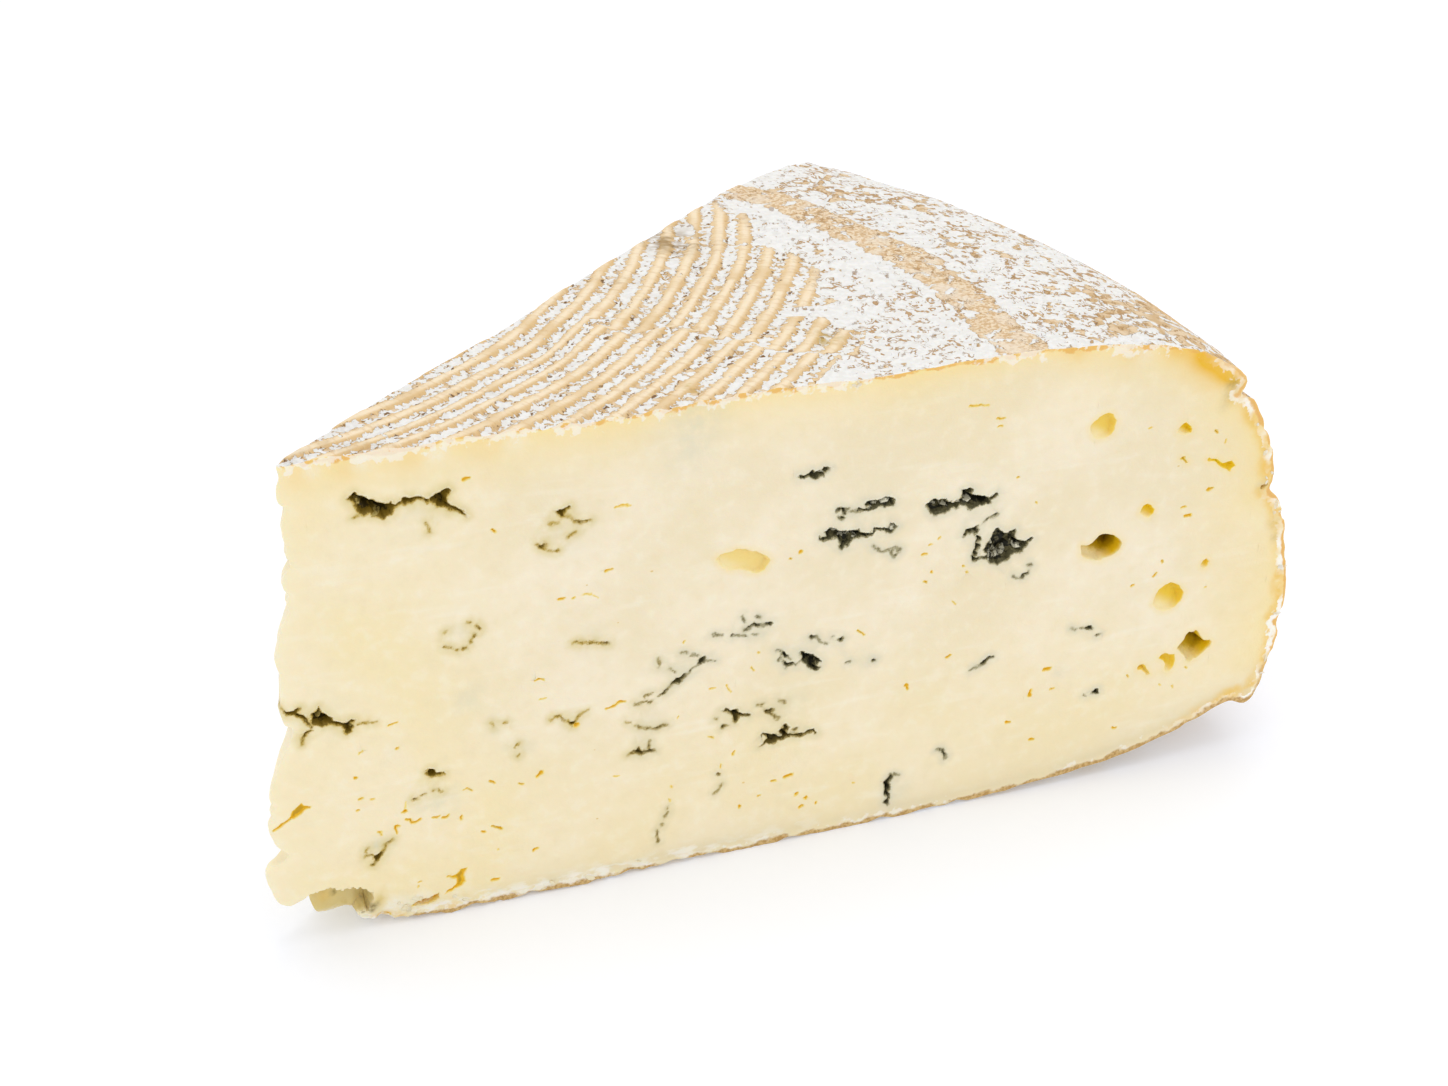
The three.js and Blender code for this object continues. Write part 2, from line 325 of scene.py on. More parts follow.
def swept_rind():
    """The whole fan of rind as a closed body, wider than the wedge on both sides."""
    rows, lean = rind_rows()
    points = grown(rows.reshape(-1, 3), np.repeat(lean, FAN_COLUMNS, axis=0))
    number = np.arange(len(points)).reshape(-1, FAN_COLUMNS)
    quads = np.stack([number[:-1, :-1], number[:-1, 1:], number[1:, 1:], number[1:, :-1]], -1)
    faces = quads.reshape(-1, 4).tolist()
    faces += np.stack([number[0, 1:], number[0, :-1], number[-1, :-1], number[-1, 1:]], -1).tolist()
    faces += [number[::-1, 0].tolist(), number[:, -1].tolist()]
    return body_of("rind_sweep", points, faces, RIND)


# ======================================================================================
# The cut faces
# Two strokes of a knife through soft paste. Each opened what had grown inside: ragged
# cracks lined with blue mould, round eyes, amber pinholes. The tip sagged and scalloped,
# and its foot broke away.
# ======================================================================================

APEX_TOP, APEX_FOOT = 1.4, 8.5     # how far before the axis the cuts meet, top and foot
FAR_OUTSIDE = -9.0                 # stands for a spot that no opening is near

# Thin mould cracks as chains of (along the face, height, half width).
CRACKS = [
    [(13.5, 50.2, .1), (13.7, 49.7, .06), (13.8, 49.1, .08)], [(6.3, 52.1, .06), (6.7, 52.3, .08)],
    [(-2.9, 31.1, .1), (-2.4, 30.4, .2), (-1.6, 30.4, .28), (-1, 30.9, .13)],
    [(-1.4, 30.1, .22), (-.8, 29.7, .22), (-.4, 29, .16), (0, 28.3, .14)],
    [(-.2, 27.9, .15), (-.7, 27.6, .2), (-1, 27.2, .15), (-1.2, 26.4, .13)],
    [(5, 27.5, .1), (5.7, 27.3, .08), (6.5, 27.4, .1)],
    [(28, 48.2, .1), (28.5, 47.7, .06), (28.9, 47.3, .13), (29.7, 47.1, .15), (30.4, 47.2, .12)],
    [(26.4, 47.3, .06), (26.3, 47.6, .1), (27.1, 47.6, .09)], [(28, 45.5, .09), (28.9, 46, .12)],
    [(24.7, 45.4, .08), (25.3, 45.1, .2), (25.7, 45.3, .14)],
    [(25.4, 45, .1), (25.9, 44.5, .07), (26.6, 44.2, .06), (27, 44.2, .1)],
    [(57.7, 43.1, .15), (58.4, 43.3, .16), (59.1, 43.1, .14)], [(58.6, 43, .2), (58.6, 42.6, .14)],
    [(58, 42.3, .12), (58.5, 42.1, .18)], [(59.2, 42.8, .04), (60, 42.6, .06)],
    [(62.1, 37.8, .1), (62.5, 37.4, .1), (63.2, 36.8, .06), (64.2, 36.9, .1), (64.7, 37, .13),
     (65, 36.8, .1), (65.3, 36.6, .13)],
    [(64.4, 36.8, .12), (64.5, 36.3, .1), (64.8, 35.9, .13), (65.1, 36.3, .07)],
    [(72.9, 36.9, .14), (73.2, 37.5, .26), (74, 37.5, .28), (74.6, 37.9, .1)],
    [(73.7, 37.4, .28), (74.5, 37.3, .18)], [(74, 37.3, .15), (74.3, 36.7, .1), (74.8, 36.2, .22)],
    [(74.8, 36.2, .22), (74.4, 35.7, .14), (74.6, 35.2, .26), (74.2, 34.7, .16), (74.5, 34.3, .22),
     (74.1, 34.3, .12), (74.4, 33.6, .22), (75.2, 33.7, .13), (75.8, 33.6, .15)],
    [(75.2, 38.3, .09), (75.7, 38.4, .07), (76.3, 38.7, .13), (76.9, 38.9, .15)],
    [(79.2, 30.6, .12), (79.3, 30.3, .13), (79.9, 30, .12), (80.3, 30, .16), (80.5, 30.5, .14),
     (81, 30.5, .15), (81.1, 30.8, .07)], [(81, 31.6, .07), (81.4, 31.5, .14)],
    [(51.1, 26.6, .13), (51.6, 26.4, .09), (51.9, 26.1, .2), (52.3, 25.7, .2), (52.9, 25.2, .06)],
    [(51.4, 25.2, .13), (51.7, 25.3, .13), (51.7, 25.9, .09)], [(52.3, 24.3, .07), (52.2, 24, .08)],
    [(51.9, 25, .1), (52.4, 24.5, .2), (53, 24.4, .2), (53.5, 24.2, .09), (54.1, 24.5, .05)],
    [(55.1, 27.5, .14), (55.4, 27.3, .18), (55.8, 27.4, .12), (56.1, 27, .06), (56.3, 26.5, .09),
     (56.7, 26.4, .15), (57.2, 26.2, .07)],
    [(58.4, 26.4, .11), (58.7, 26.3, .2), (58.9, 26.5, .1)], [(57.7, 27, .06), (57.9, 27, .06)],
    [(44.9, 18, .12), (44.9, 17.7, .17), (45.3, 17.8, .11), (45.6, 17.8, .04)],
    [(51.6, 19.9, .09), (51.9, 19.8, .12), (52.2, 19.5, .15)], [(49, 19.8, .07), (49.6, 19.9, .07)],
    [(49.9, 19.1, .13), (50.2, 18.8, .22), (50.9, 18.9, .15)],
    [(50.4, 18.6, .16), (50.8, 18.2, .06), (51.1, 17.8, .14), (51.5, 17.6, .13), (51.3, 17.3, .06)],
    [(53.3, 15.6, .11), (53.7, 15.7, .15)], [(44, 19.1, .06), (44.2, 19, .1)],
    [(33.9, 16.6, .08), (34.9, 16.8, .18), (35.2, 17.2, .15)],
    [(35, 16.8, .28), (35.5, 16.45, .2), (36, 16.55, .16), (36.7, 16.5, .18), (37.1, 16.3, .12)],
    [(36.4, 16.7, .12), (36.4, 17.3, .14), (36.4, 17.8, .1)],
    [(25.4, 23.3, .06), (26.5, 23.6, .12), (26.9, 23, .15), (27.3, 22.7, .1), (27.8, 22.2, .26),
     (28.2, 22.6, .1), (28.6, 23.1, .11), (29.3, 23.4, .12), (29.6, 23.6, .07)],
    [(34.9, 23.2, .15), (35.3, 23.2, .16), (36, 23.25, .1), (36.5, 23, .12), (36.9, 23.2, .06)],
    [(36.1, 23.9, .13), (36.4, 24.05, .1), (36.9, 24.1, .05)],
    [(37.4, 23.6, .05), (38, 23.9, .18), (38.3, 24.2, .15), (38.7, 24.5, .06), (39.2, 24.9, .15),
     (39.9, 25.2, .38), (40.4, 25.6, .2), (40.9, 25.9, .1), (41.4, 26.3, .12), (42.1, 26.7, .08),
     (42.5, 27.1, .25), (42.7, 27.5, .18)], [(42.6, 27.2, .1), (43.5, 26.9, .09), (44.1, 26.8, .07)],
    [(41.2, 28.2, .1), (41.9, 28, .12), (42.4, 27.7, .08)], [(40.2, 28.7, .09), (40.7, 28.65, .09)],
    [(37.6, 28.6, .07), (37.7, 27.9, .11), (37.5, 27.4, .08)], [(38.9, 27, .06), (39.4, 26.5, .06)],
    [(33.8, 21.2, .05), (34.2, 20.9, .05)],
    [(34.8, 20.4, .06), (35.2, 20.1, .15), (35.8, 19.8, .08), (36.2, 19.6, .13), (36.8, 19.5, .1),
     (37.4, 19.5, .15), (38, 19.7, .13), (38.7, 19.5, .07)],
    [(28.2, 32.45, .08), (28.7, 32.6, .15), (29.3, 32.3, .08), (30, 32.2, .1), (30.7, 32.1, .12),
     (31.3, 31.9, .1), (31.8, 31.8, .17), (32.2, 31.7, .12)],
    [(65.2, 6.3, .1), (65.5, 5.9, .18), (64.9, 5.3, .3), (65.1, 4.4, .35), (64.9, 3.8, .3),
     (65.2, 3.2, .16), (65, 2.5, .3), (65.2, 1.9, .1)],
    [(65.8, 6.3, .1), (66.4, 6, .08)],
    [(71.1, 8.5, .12), (71.8, 8.1, .12), (72.2, 7.4, .15), (72.1, 6.9, .12)],
    [(74.7, 18.8, .1), (75.8, 19.3, .12), (76.3, 19.5, .3), (76.9, 20, .2), (77.5, 20, .12)],
    [(87, 21.8, .1), (87.7, 21.5, .08)], [(88.3, 21.6, .05), (89, 21.5, .1), (89.4, 21.4, .24),
     (89.7, 21.2, .1)], [(90.4, 20.1, .12), (90.8, 20.2, .1)],
    [(90.6, 12.1, .13), (91, 12.3, .3), (91.2, 12, .2)], [(89.4, 12, .09), (89.6, 11.8, .07)],
    [(14.6, 35.1, .12), (15.1, 34.75, .13)], [(15.6, 34.5, .06), (15.9, 34.4, .08)],
    [(16.4, 34.45, .12), (16.8, 34.5, .1)], [(17.3, 35.1, .12), (17.35, 35.4, .07), (17.75, 35.75, .14)],
    [(18, 36.9, .13), (18.25, 36.6, .16)], [(17.1, 37.45, .1), (17.2, 37.5, .08)],
    [(14.6, 36.8, .08), (14.7, 36.9, .06)],
    [(43.8, 30.3, .08), (44.9, 30.1, .12)], [(46, 29.7, .15), (47, 29.5, .1), (47.6, 29.2, .08)],
    [(48.4, 29.4, .1), (48.9, 29.1, .12)], [(48.9, 31.5, .13), (49.2, 31.4, .1)],
    [(47.4, 30.1, .12), (48.6, 30.5, .18), (49.7, 30.2, .1), (50.4, 30.3, .22)],
    [(47.4, 31.2, .13), (47.2, 31.9, .1)], [(109.9, 36.2, .3), (110.3, 36.4, .15)],
    [(4.3, 10, .08), (5, 10.1, .14), (5.3, 9.9, .1)], [(4.4, 10.8, .05), (4.6, 11.2, .06)],
    [(5.1, 8.9, .17), (5.4, 9.2, .12), (5.5, 9.8, .32), (6, 10.1, .22), (6.3, 10.3, .1),
     (6.4, 10.9, .09), (6.5, 11.3, .12), (6.9, 11.45, .15), (7.4, 11.6, .12)],
    [(10, 16.2, .08), (10.2, 16.45, .17), (10.5, 16.4, .1)], [(11, 16.75, .13), (11.4, 16.75, .11)],
    [(12.1, 17, .09), (12.3, 17.05, .06)], [(12.8, 17.05, .09), (12.9, 16.75, .12), (13.1, 16.7, .07)],
    [(21.4, 20.6, .08), (21.7, 21, .1)], [(21.6, 19.4, .1), (21.8, 19.5, .08)],
    [(18.9, 24.3, .05), (19.1, 23.9, .08)], [(20.3, 24, .06), (20.6, 24.1, .08)],
    [(38.3, 8.3, .13), (38.3, 8.1, .08)], [(38.4, 7.6, .1), (38.1, 7.1, .14)],
    [(37.7, 6.1, .13), (37.7, 5.9, .08)], [(37.1, 5.4, .1), (37.1, 4.7, .14), (37.2, 3.8, .1)],
    [(44.3, 11.5, .16), (44.5, 11.4, .1)], [(44.8, 10, .08), (44.4, 9.3, .1), (43.9, 8.7, .12)],
    [(62.7, 22.7, .18), (62.9, 22.6, .15)], [(59.5, 23.2, .14), (59.9, 23.2, .12)],
]

# Wide mould pockets as the ragged outline that the knife laid open.
POCKETS = [np.array(outline) for outline in [
    [(5.7, 54.4), (6.1, 54.7), (6.6, 55), (7.2, 54.5), (8.2, 54), (8.6, 53.6), (9, 53.3),
     (9.5, 53.1), (10, 53.3), (10.5, 53), (11, 53.1), (11.5, 53.5), (12, 53.3), (12.6, 53.5),
     (13.1, 53.3), (13.4, 53), (14, 53), (14.5, 53.4), (15, 53.5), (15.5, 53.8), (15.9, 53.8),
     (16.1, 53.4), (15.7, 52.9), (15.8, 52.2), (16.2, 51.6), (17.3, 51), (17.8, 50.2),
     (17.1, 50.7), (16.2, 51.1), (15.4, 51.8), (14.5, 51.8), (14.4, 52.3), (14, 52.9),
     (13.7, 52.5), (13.4, 52.9), (12.6, 53.1), (12.1, 52.6), (11.6, 52.8), (11.1, 52.9),
     (10.5, 52.6), (10, 51.8), (9.5, 51.8), (9.2, 51.4), (8.9, 51.8), (8.2, 52), (8, 52.4),
     (7.3, 52.2), (6.9, 52.3), (6.6, 53.5), (6.3, 54.1)],
    [(0, 29.9), (0.7, 30.2), (0.95, 30.6), (1.15, 30.1), (1.5, 29.6), (2, 29.2), (2.3, 28.8),
     (2.4, 28.4), (2.9, 28.25), (3.3, 27.95), (3.8, 28), (4.2, 28.3), (4.6, 28.1), (4.1, 27.8),
     (4.5, 27.4), (4.1, 27.2), (4, 26.7), (3.7, 26.5), (3.4, 26.8), (3.1, 27.6), (2.6, 27.8),
     (2.2, 28.1), (1.5, 28.3), (1, 28), (0.7, 28.3), (0.1, 28.6)],
    [(11.6, 19.5), (11.9, 19.9), (12.4, 19.9), (12.6, 19.3), (13.5, 19.2), (13.5, 18.9),
     (12.7, 18.9), (12.1, 18.7), (11.7, 19.1)],
    [(26.8, 49.1), (27.8, 49.1), (28.3, 49.4), (28.4, 49.2), (28, 49), (27.8, 48.2),
     (27.5, 48.3), (27, 49)],
    [(53.3, 48.1), (54.4, 48.2), (54.7, 48.4), (55, 48.6), (55.2, 48.3), (56, 48.4), (56.2, 48.7),
     (56.95, 48.35), (56.2, 48), (56.35, 47.7), (55.6, 47.7), (55.2, 47.5), (54.6, 47.9),
     (53.5, 47.85)],
    [(60, 42.5), (60.3, 42.9), (60.7, 42.6), (61.2, 42.6), (61.5, 42.9), (61, 43.3), (61.1, 43.5),
     (62, 43.7), (62.6, 43.55), (63.2, 43.6), (63.8, 43.7), (64.2, 43.6), (64.6, 43.2),
     (64.3, 42.5), (63.9, 42.55), (63.4, 42.4), (62.6, 42.75), (62, 42.5), (60.9, 42.3)],
    [(55.9, 40.3), (56.2, 39.9), (56.7, 40.1), (56.5, 40.6), (57.1, 40.9), (57.6, 40.9),
     (58, 40.6), (58.5, 40.3), (59.5, 40.2), (60.4, 40.15), (60.6, 39.8), (61.2, 39.6),
     (62, 39.5), (62.2, 40.1), (62.7, 40), (63.6, 39.8), (64.1, 40.35), (64.5, 40.2),
     (65.05, 39.75), (64.6, 39.4), (64.2, 39.1), (63.7, 39.2), (63.3, 39.5), (62.7, 39.7),
     (62, 39.3), (61.2, 39.1), (60.6, 39.25), (60, 39.2), (59.6, 38.9), (59.2, 38.4),
     (58.9, 38.5), (58.5, 38.2), (58.2, 38.5), (58.4, 38.9), (58, 39.8), (57, 39.8),
     (56.4, 39.6), (56, 39.8)],
    [(68.2, 41.9), (69.2, 42.3), (69.8, 42.1), (70.4, 42.1), (70.8, 41.8), (71.4, 41.6),
     (72, 41.8), (72.5, 42.2), (72.4, 42.9), (72.9, 42.9), (73.5, 43), (73.7, 42.6),
     (73.5, 42.1), (74, 41.9), (74.6, 41.8), (75.2, 41.5), (75.7, 41.3), (76.6, 41.8),
     (76.7, 41.4), (75.9, 40.9), (75.9, 40.5), (75.4, 40.7), (74.3, 40.6), (73.7, 40.3),
     (73.2, 40.3), (72.8, 40.9), (72.3, 41.1), (72.1, 40.7), (71.8, 40.6), (71.3, 40.9),
     (71, 40.5), (70.4, 40.4), (69.8, 40.4), (69.2, 40.2), (68.8, 40.6), (68.5, 41.3)],
    [(75.4, 34.7), (75.9, 35.5), (76.3, 36.3), (76.7, 37), (77, 37.1), (77.7, 36.4), (78.3, 36.4),
     (79.2, 36.6), (79.4, 36.2), (79, 35.8), (79.3, 35.4), (79.8, 35.1), (80.4, 34.9),
     (81.2, 35.05), (81.4, 34.85), (80.9, 34.6), (80.8, 34.2), (80.3, 33.9), (80.2, 33.4),
     (79.3, 33.4), (78.9, 33.2), (78.5, 32.6), (77.6, 32.7), (77.2, 32.3), (76.8, 32.6),
     (76.4, 32.6), (76.2, 33.1), (75.5, 33.7), (75.8, 34.1)],
    [(53.9, 25.8), (54.4, 25.6), (55, 25.4), (55.5, 25), (56, 24.4), (56.5, 24), (56, 24),
     (55.8, 23.6), (56.4, 23.2), (55.8, 23), (55.2, 23.3), (54.9, 23.6), (54.7, 24),
     (54.2, 24.4), (54.2, 25)],
    [(44.8, 20), (45.3, 20.15), (45.6, 19.8), (46.6, 19.8), (46.7, 19.4), (47.5, 19), (48.3, 18.8),
     (48, 18.5), (47.3, 18.6), (46.9, 18.7), (46.7, 18.4), (46.4, 18), (46.1, 18.3), (46, 19.2),
     (45.3, 19.8)],
    [(49.5, 15.85), (49.9, 15.8), (50.7, 15.3), (51.3, 15.3), (51.7, 14.8), (52, 15), (51.5, 15.7),
     (51.6, 15.9), (52, 16.1), (52.2, 16.6), (52.8, 15.9), (52.4, 15.6), (52.6, 15.3),
     (53, 15.1), (54, 14.95), (54.4, 14.8), (55, 14.95), (55.8, 15), (56.1, 14.3), (55.7, 14.6),
     (54.5, 14.6), (54.05, 14.4), (53.1, 14.8), (52.5, 14.6), (52, 14.4), (51.5, 14.3),
     (50.8, 14.1), (50, 14.4), (49.2, 14.1), (50.2, 14.9), (50, 15.4)],
]]

# Pale tufts of down standing in the pockets: (along, height, half length, half width, lean).
TUFTS = [
    (73.3, 41.35, .5, .26, 0), (70.5, 41.25, .42, .22, -15), (69.3, 41.6, .45, .16, -35),
    (72, 41.45, .3, .18, 0), (63.5, 43.1, .62, .27, 5), (62.3, 43.1, .35, .17, 0),
    (61.5, 42.72, .3, .1, 0), (59, 39.65, .5, .13, -10), (64.3, 39.7, .45, .28, 10),
    (57.6, 40.5, .4, .13, -10), (59.8, 39.45, .3, .09, -20), (55.9, 48.15, .35, .13, 10),
    (79.7, 34.15, .4, .26, 10), (77, 33.5, .5, .2, 60), (77.9, 33.7, .5, .16, 60),
    (76.4, 35.3, .35, .14, 60), (76.3, 33.8, .4, .12, 70), (51.6, 15.1, .24, .2, 0),
    (6.9, 53.9, .6, .2, -60), (8.6, 52.2, .5, .12, 20), (.9, 29.4, .4, .25, 60),
    (52.5, 25, .35, .14, -40), (4, 27.5, .25, .1, 0), (53.2, 15.3, .3, .1, 0),
]

# Faint grey-green clouds where mould has begun under the surface: (along, height, reach, share).
CLOUDS = [
    (42, 57, 3.2, .45), (41.5, 52.5, 2.2, .3), (21.5, 20.5, 1.2, .6), (19.5, 24, 1.2, .6),
    (16.5, 28, 1.3, .6), (86, 16, .9, .5), (5.2, 10.9, .8, .6), (36, 24, .8, .5),
    (48.8, 30, 2, .5), (75.2, 37, 1.4, .4), (66, 4, 1.6, .5), (28, 46, 2.6, .25),
    (54, 25.6, 2, .35), (60, 41.4, 4.5, .25), (75, 39.5, 4.5, .25), (13, 15.5, 2, .3),
    (53, 19, 2, .35), (12, 51.6, 3, .25), (62, 23, 1.4, .35), (1.5, 29.3, 2.4, .3),
    (6, 11, 1.5, .5), (11.5, 16, 2.2, .4), (36, 17, 1.2, .6), (40.5, 26.3, 2, .4),
    (37.6, 28, .9, .5), (36.5, 20.2, 1.5, .4), (16.2, 36, 1.9, .45), (30, 32.4, 1.6, .3),
    (27.8, 22.6, 1.4, .35), (7.8, 23, 1, .3),
]

# Amber threads in the soft paste, as chains like the cracks.
AMBER_THREADS = [
    [(7.95, 12.3, .07), (7.9, 13, .17), (7.8, 13.2, .17), (8.2, 13.3, .12)],
    [(9, 14, .15), (9.4, 13.8, .15), (9.6, 13.3, .15), (10.1, 13.35, .14), (10.7, 13.6, .1)],
    [(12, 13.45, .13), (12.4, 13.4, .15), (12.7, 13.55, .08)], [(15, 12.9, .14), (15.05, 12.6, .12)],
    [(13.1, 13.1, .15), (13.4, 13.05, .12), (13.7, 13.35, .07)], [(23.6, 16.2, .1), (24.2, 16.6, .25)],
    [(18.4, 10.7, .16), (18.9, 10.4, .15), (19.4, 10.1, .22)],
    [(15.4, 16.4, .06), (15.9, 16.4, .1), (16.3, 16.05, .1)], [(18.4, 16.7, .2), (18.9, 16.4, .14)],
    [(17.1, 10.3, .14), (17.5, 10.15, .16)],
    [(31.6, 23.25, .1), (32.1, 23.4, .16), (32.8, 23.65, .1), (33.3, 23.85, .14), (33.8, 23.8, .12)],
    [(23.9, 28.6, .12), (24.3, 28.8, .16), (24.9, 28.7, .1)], [(6, 1.3, .1), (6.4, 1.3, .16)],
    [(9.8, 5.2, .12), (10.1, 5.25, .1)], [(9.7, 4.5, .07), (9.75, 4.7, .07)],
    [(13.1, 5.1, .14), (13.4, 5.1, .1)], [(5.8, 13.1, .08), (6.1, 13, .13), (6.2, 12.6, .07)],
    [(8.7, 15, .1), (9, 15.1, .22)], [(9.05, 15.5, .06), (9.1, 16.2, .04)],
    [(40.55, 30, .08), (40.6, 30.2, .12)], [(24.4, 26.2, .12), (25, 26.1, .06)],
]

# Amber slits and specks: (along, height, half length, lean in degrees, half width).
AMBER = [
    (17.8, 54.5, .35, 0, .2), (20.4, 47.9, .3, -40, .16), (34, 48.2, .8, 0, .1),
    (73.7, 53.1, 1.1, -5, .1), (76.5, 51, .4, -10, .13), (76.4, 50, .2, 0, .1),
    (27.2, 38.3, .3, 10, .14), (28.4, 38.1, .15, 20, .1), (30, 38.2, .3, 0, .08),
    (30.8, 37.8, .35, -45, .07), (32.4, 40.7, .4, 20, .14), (21.8, 15.6, .2, 0, .13),
    (18.4, 3.3, .4, 5, .17), (52.8, 9.2, .45, 10, .22),
    (51.1, 8.9, .2, 0, .16), (54.3, 4.4, .15, 0, .22), (55, 5.6, .15, 60, .18),
    (53.8, 6.3, .1, 40, .17), (56.3, 4.6, .1, 90, .15), (49.3, 7.2, .1, 0, .12),
    (47, 6.3, .15, 90, .2), (83.1, 7.2, .25, 0, .17), (93.9, 6.4, .2, -10, .15),
    (66.9, 18.2, .35, -60, .2), (61.1, 26.8, .6, -50, .13), (8.5, 26.7, .4, 10, .13),
    (18.9, 7.4, .05, 0, .1),
    (4.1, 20.9, .1, 0, .16), (4.5, 17.9, .15, 0, .13), (5.7, 17.6, .1, 0, .12),
    (3.9, 16.4, .1, 0, .13), (4.8, 23.9, .2, 20, .08), (8.8, 23.5, .15, 0, .1),
    (43.7, 23.2, .35, 5, .12), (45.6, 22.8, .6, -60, .08), (48.3, 24.8, .25, -60, .1),
    (39.8, 20.3, .15, 60, .1), (43.6, 16.7, .25, -25, .12), (32.5, 14.1, .25, -10, .09),
    (46.2, 13.9, .3, 80, .12), (44.7, 12.5, .2, 80, .1), (49.1, 26.8, .1, 0, .1),
    (23, 6.3, .2, 20, .17), (52.6, 38.2, .1, -40, .14), (53.8, 38.7, .1, -20, .17),
    (28.35, 21.95, .1, 0, .3), (71.9, 21.3, .25, 30, .2), (79.8, 10.4, .2, 0, .2),
    (38.8, 11, .08, 90, .12), (38.7, 9.2, .2, 90, .07), (72.2, 28.4, .4, -45, .08),
    (68.3, 35.4, .25, 0, .13), (69, 36.5, .25, 0, .1), (70, 37.1, .2, 40, .09),
    (68.6, 31.9, .1, -40, .16), (69.3, 33, .1, -50, .13), (73.1, 33, .08, 0, .13),
    (73.5, 32.1, .12, -50, .12), (79.1, 43.2, .08, 0, .14), (81.5, 39.5, .1, -50, .1),
    (103.1, 44.6, .15, -50, .2), (104.5, 43.2, .2, 60, .1), (103.2, 37.3, .35, 5, .2),
    (100.6, 34.2, .4, 0, .2), (100, 35.4, .25, 10, .13), (97.3, 27, .3, 50, .2),
    (98, 28.6, .15, -60, .16), (94.5, 26, .15, 0, .14), (95.1, 13.4, .2, -60, .12),
    (84.4, 16.9, .35, 10, .25), (85.2, 13.9, .15, 20, .13), (102.7, 13, .15, -60, .1),
    (101.1, 10.5, .12, -50, .11), (99.4, 11.2, .12, -50, .08), (104, 23.9, .1, 0, .11),
    (94.7, 46.6, .08, 0, .1), (60.8, 6.2, .1, 0, .1), (82.4, 14, .35, 80, .22),
]

# The widest amber openings as outlines.
AMBER_GAPS = [np.array(outline) for outline in [
    [(-5.3, 16), (-4.2, 16.75), (-3.3, 17.3), (-3, 18), (-2.5, 18.5), (-1.9, 18.8),
     (-1.6, 18.4), (-0.9, 18.25), (-1, 17.9), (-1.6, 17.9), (-2.1, 17.5), (-2.7, 17.1),
     (-3.2, 17), (-4, 16.5), (-5.2, 15.8)],
    [(12.9, 5.2), (13.6, 5), (14.1, 5.2), (14.5, 5.8), (15.4, 5.8), (14.9, 5.2), (14.8, 4.6),
     (14.9, 3.9), (14.3, 3.5), (13.7, 3.3), (13.2, 2.9), (12.6, 2.9), (13, 3.3), (13.6, 3.6),
     (14, 4.1), (14, 4.6), (13.5, 4.8)],
    [(8.8, 2.1), (9.6, 2.6), (10.3, 2.75), (10.8, 2.6), (11.4, 2.9), (12, 3.05), (12, 2.4),
     (11.3, 2.05), (10.7, 1.85), (10, 1.95), (9.4, 2)],
]]

